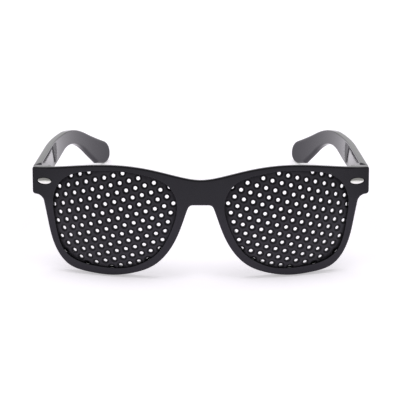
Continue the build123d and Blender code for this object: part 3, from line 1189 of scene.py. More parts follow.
@dataclass
class Workshop:
    """Turns finished shapes into pieces that ride on the frame's bodies."""

    drills: bpy.types.NodeTree = field(default_factory=perforation_tree)
    pins: bpy.types.NodeTree = field(default_factory=fastener_tree)
    materials: dict[str, bpy.types.Material] = field(default_factory=dict)
    pieces: list[bpy.types.Object] = field(default_factory=list)

    def material(self, finish: Plastic | Metal) -> bpy.types.Material:
        """The material of a finish, made once.

        Args:
            finish: the finish.

        Returns:
            Its material.
        """
        if finish.name not in self.materials:
            self.materials[finish.name] = finish.material()
        return self.materials[finish.name]

    def fasteners(
        self, kind: Fastener, places: Sequence, way: Sequence[float], finish: Metal
    ) -> bpy.types.Mesh:
        """Makes the same fastener at several places, through the fastener tree.

        Args:
            kind: the fastener.
            places: where each head sits.
            way: the way that the heads face.
            finish: the metal they are made of.

        Returns:
            All of them as one mesh.
        """
        ways = np.tile(np.array(way, float), (len(places), 1))
        markers = marker_object("Fastener_places", np.array(places, float), ways)
        slot = kind.slot or NO_SLOT
        made = applied(markers, self.pins, {
            "Head Radius": kind.head[0], "Head Height": kind.head[1], "Crown": kind.crown,
            "Shank Radius": kind.shank[0], "Shank Length": kind.shank[1],
            "Slotted": kind.slot is not None, "Slot Width": slot[0], "Slot Depth": slot[1],
            "Material": self.material(finish),
        })
        bpy.data.objects.remove(markers)
        return made

    def piece(
        self, name: str, mesh: bpy.types.Mesh, finish: Plastic | Metal, body: Body, node: str,
        side: Side | None = None,
    ) -> None:
        """Makes a mesh of the worn frame into a piece of the object.

        Args:
            name: the piece's name, without its side.
            mesh: its shape on the wearer's left, in the worn frame's millimetres.
            finish: its finish, where the mesh has none yet.
            body: what it rides on.
            node: the CAD node that it stands for, without its side.
            side: the wearer's side that it is for, or None in the middle.
        """
        if side is not None:
            name, node = f"{name}_{side.label}", f"{node}_{side.label}"
        mesh = mesh.copy()
        mesh.name = name
        spots = np.zeros(len(mesh.vertices) * 3)
        mesh.vertices.foreach_get("co", spots)
        spots = spots.reshape(-1, 3)
        if side is Side.RIGHT:
            spots[:, 0] *= side.value
            mesh.flip_normals()
        mesh.vertices.foreach_set("co", lean(spots).ravel())
        mesh.update()
        mesh.polygons.foreach_set("use_smooth", [True] * len(mesh.polygons))
        mesh.set_sharp_from_angle(angle=math.radians(SHARP_ANGLE))
        if not mesh.materials:
            mesh.materials.append(self.material(finish))
        made = new_object(name, mesh)
        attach(made, body.on(side))
        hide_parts(node)
        self.pieces.append(made)
        log.info("%s: %d triangles", name, sum(len(p.vertices) - 2 for p in mesh.polygons))


@dataclass(frozen=True)
class Hinge:
    """A barrel hinge: a leaf in the front, a leaf on the arm, and the screw through both."""

    x: float = 67.2486
    y: float = 18.77
    z: float = 16.21
    knuckle_radius: float = 1.5
    knuckle_height: float = 1.6
    knuckle_gap: float = 0.12
    knuckle_round: float = 0.16
    knuckle_steps: int = 3
    bore: float = 0.73
    leaf_thickness: float = 0.9
    leaf_height: float = 5.2
    leaf_round: float = 0.12
    front_leaf_width: float = 4.8
    arm_leaf_length: float = 11.0
    web_width: float = 2.2
    head: Pair = (1.15, 0.5)
    head_crown: float = 0.1
    shank_radius: float = 0.7
    slot: Pair = (0.3, 0.3)
    rivet_radius: float = 0.55
    rivet_head: Pair = (1.05, 0.22)
    rivet_crown: float = 0.12
    rivets: Pair = (3.8, 8.2)          # behind the hinge's axis
    pocket_gap: float = 0.05           # round a leaf in its pocket
    pocket_floor: float = 0.03         # under it
    pocket_round: float = 0.25
    pocket_step: float = 0.3

    @property
    def half_barrel(self) -> float:
        """Half the height of the three knuckles."""
        return 3 * self.knuckle_height / 2 + self.knuckle_gap

    def knuckle(self, middle: float) -> Solid:
        """One rounded ring of the barrel, round the screw.

        Args:
            middle: its height above the middle of the hinge.

        Returns:
            The closed solid.
        """
        half, r, edge = self.knuckle_height / 2, self.knuckle_radius, self.knuckle_round
        turn = [math.pi / 2 * k / self.knuckle_steps for k in range(self.knuckle_steps + 1)]
        outer = [(r - edge + edge * math.cos(t), half - edge + edge * math.sin(t)) for t in turn]
        inner = [(self.bore, half), (self.bore, -half)]
        profile = outer + inner + [(a, -b) for a, b in reversed(outer)]
        return lathe(profile, (self.x, self.y, self.z + middle))

    def front_leaf(self, seat: float, middle_x: float) -> Solid:
        """The leaf that is set in the front, with its upper and lower knuckles.

        Args:
            seat: the depth of its back.
            middle_x: where its middle lies across.

        Returns:
            The leaf as one solid.
        """
        half, wide, web = self.leaf_height / 2, self.front_leaf_width / 2, self.web_width / 2
        low = (middle_x - wide, seat - self.leaf_thickness, self.z - half)
        leaf = round_box(low, (middle_x + wide, seat, self.z + half), self.leaf_round)
        for side in (-1, 1):
            middle = side * (self.knuckle_height + self.knuckle_gap)
            leaf.take(self.knuckle(middle))
            bottom = self.z + middle - self.knuckle_height / 2
            near = (self.x - web, seat - self.leaf_thickness / 2, bottom)
            far = (self.x + web, self.y - self.bore, bottom + self.knuckle_height)
            leaf.take(round_box(near, far, self.leaf_round))
        return leaf

    def arm_leaf(self, inner_x: float, pivot: Sequence[float], splay: float) -> Solid:
        """The leaf that is set in the arm's inner face, with the middle knuckle.

        Args:
            inner_x: where the arm's inner face lies across, at its front end.
            pivot: the place that the arm splays about, across and back.
            splay: the arm's splay.

        Returns:
            The leaf as one solid.
        """
        half, web = self.leaf_height / 2, self.web_width / 2
        low = (inner_x, self.y - web, self.z - half)
        high = (inner_x + self.leaf_thickness, low[1] + self.arm_leaf_length, self.z + half)
        leaf = turned(round_box(low, high, self.leaf_round), pivot, splay)
        leaf.take(self.knuckle(0))
        bottom, top = self.z - self.knuckle_height / 2, self.z + self.knuckle_height / 2
        near = (self.x + self.bore, self.y - web, bottom)
        far = (inner_x + self.leaf_thickness / 2, self.y + web, top)
        leaf.take(round_box(near, far, self.leaf_round))
        return leaf

    def pocket(self, low: float, high: float) -> Pocket:
        """The pocket that holds a leaf.

        Args:
            low: where the leaf starts, along its length.
            high: where it ends.

        Returns:
            The pocket's outline and depth.
        """
        gap, half = self.pocket_gap, self.leaf_height / 2 + self.pocket_gap
        loop = rectangle(
            (low - gap, self.z - half), (high + gap, self.z + half), self.pocket_round,
            self.pocket_step,
        )
        return loop, self.leaf_thickness + self.pocket_floor


@dataclass(frozen=True)
class NosePad:
    """A crescent that stands behind the rim, flared where it joins it."""

    length: float = 15.0
    thickness: float = 3.0
    depth: float = 6.5
    spread: float = 2.0            # by which its back stands further from the nose
    slope: float = 61.0
    foot: Pair = (14.5, -12.8)
    back_share: float = 0.8        # of its section, at the back
    hollow: float = 0.35           # of the side towards the nose
    shoulder: float = 0.72         # of the thickness, halfway to each tip
    tip_round: float = 0.9
    near_round: float = 0.3
    far_round: float = 1.0
    flare: float = 0.22            # of its section, at the back of the rim
    flare_length: float = 1.1
    pitch: float = 0.9
    wall_steps: int = 9

    def solid(self, near: float, rim_back: float, side: Side) -> Solid:
        """Builds the pad of one side.

        Args:
            near: the depth where it starts, inside the rim.
            rim_back: the depth of the rim's back.
            side: the wearer's side.

        Returns:
            The closed solid.
        """
        slope, foot = math.radians(self.slope), np.array(self.foot)
        tip = foot + np.array([-math.cos(slope), math.sin(slope)]) * self.length
        out = np.array([math.sin(slope), math.cos(slope)])
        middle, shoulder = (foot + tip) / 2, out * self.thickness * self.shoulder
        nose_side = smooth_line([foot, middle - out * self.hollow, tip])
        rim_side = smooth_line([
            tip, (tip * 3 + foot) / 4 + shoulder, middle + out * self.thickness,
            (tip + foot * 3) / 4 + shoulder, foot,
        ])
        section = joined([nose_side, rim_side], [self.tip_round] * 2, closed=True)
        far = rim_back + self.depth
        centre = middle * (side.value, 1)

        def place(flat: Points, depth: Points) -> Points:
            """Shrinks, flares and spreads the section on its way back.

            Args:
                flat: places of the section.
                depth: their depths.

            Returns:
                The places in the worn frame.
            """
            share = (depth - near) / (far - near)
            size = 1 + (self.back_share - 1) * share
            flare = self.flare * np.exp(-(((depth - rim_back) / self.flare_length) ** 2))
            shift = np.stack([self.spread * share * side.value, np.zeros(len(flat))], axis=1)
            moved = centre + (flat - centre) * (size + flare)[:, None] + shift
            return upright(moved, depth)

        return Plate(
            even_loop(section * (side.value, 1)), level(near), level(far), place,
            near_round=self.near_round, far_round=self.far_round, pitch=self.pitch,
            wall_steps=self.wall_steps,
        ).solid()


@dataclass(frozen=True)
class Trim:
    """The shape of a domed oval trim and its two pins."""

    size: Pair = (6.2, 2.9)
    from_end: float = 5.35         # from the front's end to its middle
    below_brow: float = 5.65       # from the front's upper corner to its middle
    proud: float = 0.5
    dome: float = 0.3              # of the proud height, that the crown takes
    dome_end: float = 1.2          # past its edge, where the dome stops falling
    edge: float = 0.42
    back_edge: float = 0.08
    moat: float = 0.24             # of the groove round it
    inset: float = 0.05            # of its edge, from its oval
    sink: float = 0.4
    sink_gap: float = 0.02
    steps: int = 72
    loop_step: float = 0.16
    support: float = 0.05
    pitch: float = 0.22
    pin: Fastener = Fastener(head=(0.5, 0.02), crown=0.06, shank=(0.5, 4.2))
    pin_spacing: float = 3.2


@dataclass
class Front:
    """The moulded front: both rims, the bridge, the end pieces and the nose pads."""

    width: float = 144.8
    height: float = 47.6
    ball: float = 225.0            # radius of the curve of its face
    thickness: float = 4.0
    edge_round: float = 0.6
    back_round: float = 0.5
    support: float = 0.16
    lens_gap: float = 20.3         # between the openings
    brow_rim: float = 1.6
    lower_rim: float = 3.4
    groove_half: float = 0.55      # of the lens's groove, across the lens
    groove_reach: float = 1.3
    opening_round: float = 0.25
    opening_lip: float = 0.45      # behind the lens, by which the opening is narrower
    brow_near_round: float = 0.6
    brow_far_round: float = 1.0
    brow_fall: float = 3.2         # by which the top of the brow rounds down to the back
    brow_low: Pair = (13.0, 2.5)   # the height where that round starts, and its fade
    brow_side: Pair = (1.5, 3.5)   # past an end's inner side, where it stops, and its fade
    bridge_height: float = 10.75
    arch_half: float = 4.9
    arch_round: float = 2.2
    end_width: float = 9.0         # from an opening to the end
    end_height: float = 11.6
    end_thickness: float = 3.8
    end_block: float = 7.9         # across the thicker part behind an end
    end_step: float = 0.5          # over which the back steps up to it
    end_drop: float = 1.0          # by which it reaches below the end
    end_edge_round: float = 0.4
    end_edge_low: float = 9.0      # the height where the end's own edge starts
    end_edge_fade: float = 2.0
    end_top_round: float = 0.7
    end_foot_round: float = 1.3
    notch: float = 0.940           # of half the width, where the end's foot meets the rim
    notch_round: float = 3.5
    step_rows: int = 8             # of places that follow the step in the back
    step_spread: float = 1.1       # of the step's width, that they take
    step_pitch: float = 0.7
    step_reach: Pair = (68.0, 22.2)
    step_corner: float = 0.6
    brow: tuple[Pair, ...] = (
        (0, 0.792), (0.118, 0.842), (0.286, 0.958), (0.488, 1.027), (0.70, 1.001), (1.0, 0.929),
    )
    rim: tuple[Pair, ...] = (
        (0.914, 0.033), (0.862, -0.558), (0.785, -0.850), (0.660, -0.967), (0.530, -1.0),
        (0.397, -0.940), (0.284, -0.800), (0.174, -0.445), (0.109, -0.010), (0.081, 0.236),
    )
    opening: tuple[Pair, ...] = (
        (0.977, 0.0), (0.994, 0.405), (0.848, 0.770), (0.549, 0.944), (0.257, 0.985),
        (0.0, 1.0), (-0.251, 0.975), (-0.527, 0.911), (-0.827, 0.754), (-0.994, 0.406),
        (-0.956, 0.0), (-0.846, -0.342), (-0.697, -0.632), (-0.487, -0.838),
        (-0.249, -0.962), (0.0, -1.0), (0.255, -0.980), (0.538, -0.915), (0.800, -0.723),
        (0.927, -0.374),
    )
    pad: NosePad = NosePad()
    trim: Trim = Trim()

    @property
    def half(self) -> Pair:
        """Half the width and half the height."""
        return self.width / 2, self.height / 2

    @property
    def brow_end(self) -> Pair:
        """The upper corner of the left end."""
        return self.half[0], self.half[1] * self.brow[-1][1]

    @property
    def opening_sides(self) -> Pair:
        """Where the left opening starts and ends across."""
        return self.lens_gap / 2, self.half[0] - self.end_width

    @property
    def middle(self) -> Pair:
        """The middle of the left lens opening."""
        return sum(self.opening_sides) / 2, (self.lower_rim - self.brow_rim) / 2

    @property
    def opening_half(self) -> Pair:
        """Half the width and half the height of a lens opening."""
        near, far = self.opening_sides
        return (far - near) / 2, self.half[1] - (self.brow_rim + self.lower_rim) / 2

    @property
    def trim_middle(self) -> Pair:
        """The middle of the left trim."""
        return self.half[0] - self.trim.from_end, self.brow_end[1] - self.trim.below_brow

    @property
    def block_corner(self) -> Pair:
        """The lower inner corner of the thicker part behind the left end."""
        low = self.brow_end[1] - self.end_height - self.end_drop
        return self.half[0] - self.end_block, low

    @property
    def seat(self) -> float:
        """The depth of the arm's seat."""
        return float(self.face(np.array([self.brow_end]))[0]) + self.end_thickness

    def face(self, flat: Points) -> Points:
        """The depth of the front's face."""
        return self.ball - np.sqrt(self.ball**2 - flat[:, 0] ** 2 - flat[:, 1] ** 2)

    def back(self, flat: Points) -> Points:
        """The depth of the front's back, which steps back at the end pieces.

        Args:
            flat: the places to look at.

        Returns:
            The depth at each place.
        """
        x, z = np.abs(flat[:, 0]), flat[:, 1]
        ball = self.ball - np.sqrt((self.ball - self.thickness) ** 2 - x**2 - z**2)
        side, low = self.block_corner
        across = np.clip((x - side) / self.end_step + 0.5, 0, 1)
        up = np.clip((z - low) / self.end_step + 0.5, 0, 1)
        share = across**2 * (3 - 2 * across) * up**2 * (3 - 2 * up)
        return ball + (self.seat - ball) * share

    def brow_share(self, flat: Points) -> Points:
        """How far each place belongs to the brow's top edge, between the ends.

        Args:
            flat: the places to look at.

        Returns:
            A share from 0 to 1 for each place.
        """
        (low, rise), (past, fade) = self.brow_low, self.brow_side
        side = self.half[0] - self.end_block + past
        across = np.clip((side - np.abs(flat[:, 0])) / fade, 0, 1)
        return across * np.clip((flat[:, 1] - low) / rise, 0, 1)

    def near_round(self, flat: Points) -> Points:
        """The round of the face's outer edge.

        Args:
            flat: the places to look at.

        Returns:
            The radius at each place.
        """
        share = self.brow_share(flat)
        past = np.abs(flat[:, 0]) - self.half[0] + self.end_block
        ends = np.clip(past / self.end_edge_fade, 0, 1) * (flat[:, 1] > self.end_edge_low)
        plain = self.edge_round + (self.end_edge_round - self.edge_round) * ends
        return plain * (1 - share) + self.brow_near_round * share

    def far_round(self, flat: Points) -> Points:
        """How far in the round of the back's outer edge reaches."""
        return self.back_round + (self.brow_far_round - self.back_round) * self.brow_share(flat)

    def far_fall(self, flat: Points) -> Points:
        """How far forward the round of the back's outer edge reaches."""
        return self.back_round + (self.brow_fall - self.back_round) * self.brow_share(flat)

    def outline(self) -> Points:
        """Draws the outline of the whole front.

        Returns:
            The places of the loop.
        """
        wide, tall = self.half
        end_low = self.brow_end[1] - self.end_height
        foot, notch = (wide, end_low), (wide * self.notch, end_low)
        arch = tall * self.brow[0][1] - self.bridge_height
        corner = (self.arch_half, arch)
        pieces = [
            smooth_line([(wide * x, tall * z) for x, z in self.brow], ends=[(1, 0), (1, 0)]),
            straight(self.brow_end, foot),
            straight(foot, notch),
            smooth_line([notch, *[(wide * x, tall * z) for x, z in self.rim], corner]),
            straight(corner, (0, arch)),
        ]
        rounds = [self.end_top_round, self.end_foot_round, self.notch_round, self.arch_round]
        half = joined(pieces, rounds)
        mirrored = half[::-1] * (-1, 1)
        return even_loop(np.vstack([half, mirrored[1:-1]]))

    def opening_line(self, side: Side) -> Points:
        """Draws the outline of a lens opening.

        Args:
            side: the wearer's side.

        Returns:
            The places of the loop, with its material outside.
        """
        (mx, mz), (hx, hz) = self.middle, self.opening_half
        line = smooth_line([(mx + hx * x, mz + hz * z) for x, z in self.opening], closed=True)
        return even_loop(line * (side.value, 1), inside_left=False)

    def trim_line(self, side: Side, grow: float) -> Points:
        """Draws the oval outline of a trim.

        Args:
            side: the wearer's side.
            grow: by how much the outline lies outside the trim's oval.

        Returns:
            The places of the loop.
        """
        turn = np.linspace(0, FULL_TURN, self.trim.steps + 1)[:-1]
        (x, z), (a, b) = self.trim_middle, (size / 2 + grow for size in self.trim.size)
        return np.stack([(x + a * np.cos(turn)) * side.value, z + b * np.sin(turn)], axis=1)

    def step_places(self) -> Points:
        """Places on the back that follow its steps at both ends.

        Returns:
            The places, one per line.
        """
        (inner, low), (far, high) = self.block_corner, self.step_reach
        across = np.linspace(-0.5, 0.5, self.step_rows) * self.end_step * self.step_spread
        heights = np.arange(low, high, self.step_pitch)
        widths = np.arange(inner + self.step_corner, far, self.step_pitch)
        made = [(s.value * (inner + d), z) for s in Side for d in across for z in heights]
        made += [(s.value * x, low + d) for s in Side for d in across for x in widths]
        return np.array(made)

    def build(self, shop: Workshop, hinge: Hinge, lens: "Lens") -> None:
        """Makes the front with the pockets for its trims and leaves.

        Args:
            shop: where the pieces are made.
            hinge: the hinges whose leaves it holds.
            lens: the lenses that its grooves hold.
        """
        half_leaf, leaf_x = hinge.front_leaf_width / 2, self.trim_middle[0]
        made = Plate(
            self.outline(), self.face, self.back, upright, self.near_round, self.far_round,
            openings=[self.opening_line(side) for side in Side],
            opening_round=self.opening_round, lip=self.opening_lip, far_depth=self.far_fall,
            support=self.support, extra=self.step_places(),
            near_pockets=[(self.trim_line(s, self.trim.moat), self.trim.sink) for s in Side],
            far_pockets=[
                hinge.pocket(s.value * leaf_x - half_leaf, s.value * leaf_x + half_leaf)
                for s in Side
            ],
            groove=(
                lambda flat: lens.skin(flat, self.groove_half),
                lambda flat: lens.skin(flat, -self.groove_half),
                self.groove_reach,
            ),
        ).solid()
        near = float(self.face(np.array([(self.arch_half, 0.0)]))[0]) + self.thickness / 2
        for side in Side:
            made.take(self.pad.solid(near, near + self.thickness / 2, side))
        shop.piece("Front_moulding", made.mesh("front"), GLOSS_BLACK, Body.FRONT, "front_frame")

    def build_trim(self, shop: Workshop, side: Side) -> None:
        """Makes the domed oval trim of one end, with its two pins.

        Args:
            shop: where the pieces are made.
            side: the wearer's side.
        """
        trim = self.trim
        (x, z), (a, b) = self.trim_middle, (size / 2 for size in trim.size)

        def domed(flat: Points) -> Points:
            """The depth of the trim's domed face.

            Args:
                flat: the places to look at.

            Returns:
                The depth at each place.
            """
            out = ((flat[:, 0] - x) / a) ** 2 + ((flat[:, 1] - z) / b) ** 2
            return self.face(flat) - trim.proud + trim.dome * np.clip(out, 0, trim.dome_end)

        made = Plate(
            even_loop(self.trim_line(Side.LEFT, -trim.inset), step=trim.loop_step), domed,
            lambda flat: self.face(flat) + trim.sink - trim.sink_gap, upright,
            near_round=trim.edge, far_round=trim.back_edge, support=trim.support,
            pitch=trim.pitch,
        ).solid()
        places = [(x + k * trim.pin_spacing / 2, self.seat, z) for k in (-1, 1)]
        pins = shop.fasteners(trim.pin, places, (0, 1, 0), CHROME)
        whole = combined([made.mesh("trim"), pins])
        shop.piece("Trim", whole, CHROME, Body.FRONT, "front_trim", side)


@dataclass
class Lens:
    """A thin perforated plate, curved as part of a barrel."""

    middle: Pair
    opening_half: Pair
    front_ball: float              # radius of the curve of the front's face
    side_radius: float = 66.0
    tall_radius: float = 54.0
    turn: float = 8.2
    thickness: float = 1.0
    bulge: float = 2.7             # by which it stands out of the front's face
    reach: float = 1.25            # past the opening, into the groove
    edge_round: float = 0.15
    bore: float = 0.81
    dish: float = 2.0              # radius of the shallow cone round a hole, above the face
    dish_lift: float = 0.05        # of that cone's wide end above the face
    dish_depth: float = 0.25
    fan: float = 0.34              # of the holes' ways, from parallel at 0 to square at 1
    pitch: float = 4.04
    row_pitch: float = 4.01
    row_angle: float = 14.4
    line_angle: float = 61.3
    start: Pair = (35.11, 2.55)
    loop_step: float = 0.9
    support: float = 0.1
    grid: float = 1.5

    @property
    def axis(self) -> Pair:
        """The barrel's upright axis.

        Returns:
            Where it stands, across and back.
        """
        turn, (across, up) = math.radians(self.turn), self.middle
        face = self.front_ball - math.sqrt(self.front_ball**2 - across**2 - up**2)
        back = face - self.bulge + self.thickness / 2 + self.side_radius * math.cos(turn)
        return across - self.side_radius * math.sin(turn), back

    def skin(self, flat: Points, grow: float) -> Points:
        """The depth of a face that lies outside the lens's middle by a distance.

        Args:
            flat: the places to look at.
            grow: the distance.

        Returns:
            The depth at each place.
        """
        axis_x, axis_y = self.axis
        up = flat[:, 1] - self.middle[1]
        bend = np.sqrt((self.tall_radius + grow) ** 2 - up**2)
        out = self.side_radius - self.tall_radius + bend
        return axis_y - np.sqrt(out**2 - (np.abs(flat[:, 0]) - axis_x) ** 2)

    def way_in(self, flat: Points, fan: float, step: float = 0.01) -> Points:
        """The way through the lens.

        Args:
            flat: the places to look at.
            fan: 0 for ways that are parallel, 1 for ways that are square to the face.
            step: the distance over which the slope of the face is taken.

        Returns:
            A way of length one for each place.
        """
        depth = self.skin(flat, 0)
        across = (self.skin(flat + (step, 0), 0) - depth) / step
        up = (self.skin(flat + (0, step), 0) - depth) / step
        square = np.stack([-across, np.ones(len(flat)), -up], axis=1)
        square /= np.linalg.norm(square, axis=1)[:, None]
        turn = math.radians(self.turn)
        middle = np.array([-math.sin(turn), math.cos(turn), 0.0])
        way = middle + (square - middle) * fan
        return way / np.linalg.norm(way, axis=1)[:, None]

    def holes(self, opening: Points) -> Points:
        """The places of the pattern's holes.

        Args:
            opening: the outline that they lie in.

        Returns:
            The places, one per line.
        """
        turn = math.radians(180 - self.row_angle)
        line = turn + math.radians(self.line_angle)
        across = self.pitch * np.array([math.cos(turn), math.sin(turn)])
        up = self.row_pitch * np.array([math.cos(line), math.sin(line)])
        reach = int(sum(self.opening_half) / self.pitch) + 2
        count, start = range(-reach, reach + 1), np.array(self.start)
        every = np.array([start + across * a + up * b for b in count for a in count])
        return every[is_inside(every, [opening])]

    def build(self, shop: Workshop, opening: Points) -> None:
        """Makes both lenses, pierced by the perforation tree.

        Args:
            shop: where the pieces are made.
            opening: the left opening's outline.
        """
        loop = even_loop(opening, step=self.loop_step)
        outline = even_loop(loop - inward(loop) * self.reach, step=self.loop_step)
        half = self.thickness / 2
        blank = Plate(
            outline, lambda flat: self.skin(flat, half), lambda flat: self.skin(flat, -half),
            upright, self.edge_round, self.edge_round, support=self.support, pitch=self.grid,
            wall_steps=1,
        ).solid()
        flat = self.holes(opening)
        way, square = self.way_in(flat, self.fan), self.way_in(flat, 1.0)
        middles = upright(flat, self.skin(flat, 0))
        mouths = middles - way * (half / np.sum(way * square, axis=1))[:, None]
        bores = marker_object("Bore_places", middles, way)
        dishes = marker_object("Dish_places", mouths - square * self.dish_lift, square)
        carrier = new_object("Blank", blank.mesh("lens"))
        # The walls of the holes and dishes take a darker black than the lens face: painted shade
        # in the holes.
        pierced = applied(carrier, shop.drills, {
            "Bores": bores, "Bore": self.bore, "Bore Length": self.thickness * 2,
            "Dishes": dishes, "Dish": self.dish, "Dish Length": self.dish_lift + self.dish_depth,
            "Wall Material": shop.material(HOLE_PAINTED_SHADE), "Material": shop.material(SATIN_BLACK),
        })
        log.info("lens: %d holes, %d faces", len(flat), len(pierced.polygons))
        for used in (bores, dishes, carrier):
            bpy.data.objects.remove(used)
        for side in Side:
            shop.piece("Lens", pierced, SATIN_BLACK, Body.FRONT, "pinhole_lens", side)


@dataclass
class Arm:
    """A flat arm that bends down behind the ear and bows inward to its tip."""

    front: Front
    hinge: Hinge
    inset: float = 0.02            # of its outer face, from the front's end
    gap: float = 0.15              # between the front's seat and the arm
    thickness: float = 3.1
    reach: float = 123.5
    splay: float = 1.15
    straight_length: float = 41.5
    bow_radius: float = 180.0
    edge_round: float = 0.5
    support: float = 0.25
    tip_inner_round: float = 1.45
    tip_outer_round: float = 0.4
    tip_thinning: float = 1.2      # of the arm, on its outer face, from the bend to the tip
    thinning_start: float = 96.0
    thinning_end: float = 8.0      # before the tip
    seat_round: float = 1.4
    relief: Pair = (1.9, 4.6)      # across and back, of the cut beside the hinge
    hinge_clear: float = 2.9       # above and below the hinge, where the arm isn't cut
    relief_fade: float = 0.7
    relief_rows: tuple[float, ...] = (0.85, 1.0, 1.2, 1.45, 1.9, 2.4, 3.0, 3.6, 4.2, 4.8)
    relief_margins: Pair = (1.0, 0.7)
    relief_pitch: float = 0.35
    middle: Pair = (57.0, 11.5)    # back from the seat, and down from the top
    waist: Pair = (86.5, 4.2)
    bend_back: float = 87.8
    tip_drop: float = 15.0
    tip_height: float = 10.8
    foot_back: float = 111.8
    foot_slope: float = 12.0
    front_corner: float = 0.3      # radii of the outline's corners, here and below
    bend_corner: float = 72.0
    tip_top_corner: float = 7.4
    tip_low_corner: float = 4.4
    foot_corner: float = 1.5
    waist_corner: float = 36.0
    middle_corner: float = 90.0

    @property
    def top(self) -> float:
        """The height of the arm's top edge."""
        return self.front.brow_end[1]

    @property
    def outer_x(self) -> float:
        """The arm's outer face at the seat, across."""
        return self.front.half[0] - self.inset

    @property
    def inner_x(self) -> float:
        """The arm's inner face at the seat, across."""
        return self.outer_x - self.thickness / math.cos(math.radians(self.splay))

    @property
    def start(self) -> float:
        """The depth of the arm's front end."""
        return self.front.seat + self.gap

    def side_face(self, back: Points, inner: bool) -> Points:
        """How far across a face of the arm lies.

        Args:
            back: the depths to look at.
            inner: True for the inner face and False for the outer one.

        Returns:
            The place across at each depth.
        """
        splay = math.radians(self.splay)
        start = self.inner_x if inner else self.outer_x
        bow_x = self.outer_x - math.sin(splay) * self.straight_length
        bow_x -= self.bow_radius * math.cos(splay)
        bow_y = self.start + math.cos(splay) * self.straight_length
        bow_y -= self.bow_radius * math.sin(splay)
        radius = self.bow_radius - (self.thickness if inner else 0)
        bent = bow_x + np.sqrt(np.maximum(radius**2 - (back - bow_y) ** 2, 0))
        unbent = start - (back - self.start) * math.tan(splay)
        return np.where(back < bow_y + radius * math.sin(splay), unbent, bent)

    def tip_share(self, flat: Points) -> Points:
        """How far each place lies on the way from the bend to the tip.

        Args:
            flat: the places to look at.

        Returns:
            A share from 0 to 1 for each place.
        """
        end = self.front.seat + self.reach - self.thinning_end
        share = (flat[:, 0] - self.thinning_start) / (end - self.thinning_start)
        share = np.clip(share, 0, 1)
        return share * share * (3 - 2 * share)

    def inner_face(self, flat: Points) -> Points:
        """The inner face, with its rounded front corner and the cut beside the hinge.

        Args:
            flat: the places to look at.

        Returns:
            The depth inward at each place.
        """
        behind = flat[:, 0] - self.start
        short = np.clip(1 - behind / self.seat_round, 0, 1)
        rounding = self.seat_round * (1 - np.sqrt(1 - short**2))
        across, back = self.relief
        far = np.clip(1 - behind / back, 0, 1)
        past = np.abs(flat[:, 1] - self.hinge.z) - self.hinge_clear
        clear = np.clip(past / self.relief_fade, 0, 1)
        cut = across * far * (2 - far) * clear * clear * (3 - 2 * clear)
        return -(self.side_face(flat[:, 0], True) + np.maximum(rounding, cut))

    def outer_face(self, flat: Points) -> Points:
        """The depth inward of the outer face, which closes in towards the tip."""
        return -self.side_face(flat[:, 0], False) + self.tip_thinning * self.tip_share(flat)

    def inner_round(self, flat: Points) -> Points:
        """The round of the inner face's edge."""
        return self.edge_round + (self.tip_inner_round - self.edge_round) * self.tip_share(flat)

    def outer_round(self, flat: Points) -> Points:
        """The round of the outer face's edge."""
        return self.edge_round + (self.tip_outer_round - self.edge_round) * self.tip_share(flat)

    def outline(self) -> Points:
        """Draws the arm's outline seen from the side.

        Returns:
            The places of the loop, as depths back and heights.
        """
        seat, top = self.front.seat, self.top
        tip, tip_top = seat + self.reach, top - self.tip_drop
        tip_low = tip_top - self.tip_height
        foot_rise = (self.reach - self.foot_back) * math.tan(math.radians(self.foot_slope))
        corners = [
            (self.start, top, self.front_corner),
            (seat + self.bend_back, top, self.bend_corner),
            (tip, tip_top, self.tip_top_corner),
            (tip, tip_low, self.tip_low_corner),
            (seat + self.foot_back, tip_low + foot_rise, self.foot_corner),
            (seat + self.waist[0], top - self.waist[1], self.waist_corner),
            (seat + self.middle[0], top - self.middle[1], self.middle_corner),
            (self.start, top - self.front.end_height, self.front_corner),
        ]
        return polygon([corner[:2] for corner in corners], [corner[2] for corner in corners])

    def build(self, shop: Workshop, side: Side) -> None:
        """Makes the arm of one side, with the pocket for its leaf.

        Args:
            shop: where the pieces are made.
            side: the wearer's side.
        """
        low, high = self.top - self.front.end_height, self.top
        below, above = self.relief_margins
        heights = np.arange(low + below, high - above, self.relief_pitch)
        leaf = self.hinge.y - self.hinge.web_width / 2
        made = Plate(
            self.outline(), self.outer_face, self.inner_face, sideways, self.outer_round,
            self.inner_round, support=self.support,
            extra=np.array([(self.start + d, z) for d in self.relief_rows for z in heights]),
            far_pockets=[self.hinge.pocket(leaf, leaf + self.hinge.arm_leaf_length)],
        ).solid()
        shop.piece("Arm", made.mesh("arm"), ARM_BLACK, Body.ARM, "temple", side)

    def build_hardware(self, shop: Workshop, side: Side) -> None:
        """Makes one side's leaves, screw and rivets.

        Args:
            shop: where the pieces are made.
            side: the wearer's side.
        """
        hinge, splay = self.hinge, math.radians(self.splay)
        front_leaf = hinge.front_leaf(self.front.seat, self.front.trim_middle[0])
        arm_leaf = hinge.arm_leaf(self.inner_x, (self.inner_x, self.start), self.splay)
        screw = Fastener(
            hinge.head, hinge.head_crown, (hinge.shank_radius, 2 * hinge.half_barrel), hinge.slot
        )
        top = (hinge.x, hinge.y, hinge.z + hinge.half_barrel)
        rivet = Fastener(
            hinge.rivet_head, hinge.rivet_crown, (hinge.rivet_radius, self.thickness)
        )
        depths = np.array([hinge.y + back for back in hinge.rivets])
        across = self.side_face(depths, False)
        heads = [(x, y, hinge.z) for x, y in zip(across, depths)]
        out = (math.cos(splay), math.sin(splay), 0)
        for name, mesh, body, node in (
            ("Front_leaf", front_leaf.mesh("leaf"), Body.FRONT, "front_hinge_leaf"),
            ("Arm_leaf", arm_leaf.mesh("leaf"), Body.ARM, "temple_hinge_leaf"),
            ("Hinge_screw", shop.fasteners(screw, [top], (0, 0, 1), STEEL), Body.FRONT,
             "hinge_screw"),
            ("Rivets", shop.fasteners(rivet, heads, out, STEEL), Body.ARM, "temple_rivets"),
        ):
            shop.piece(name, mesh, STEEL, body, node, side)


# The studio


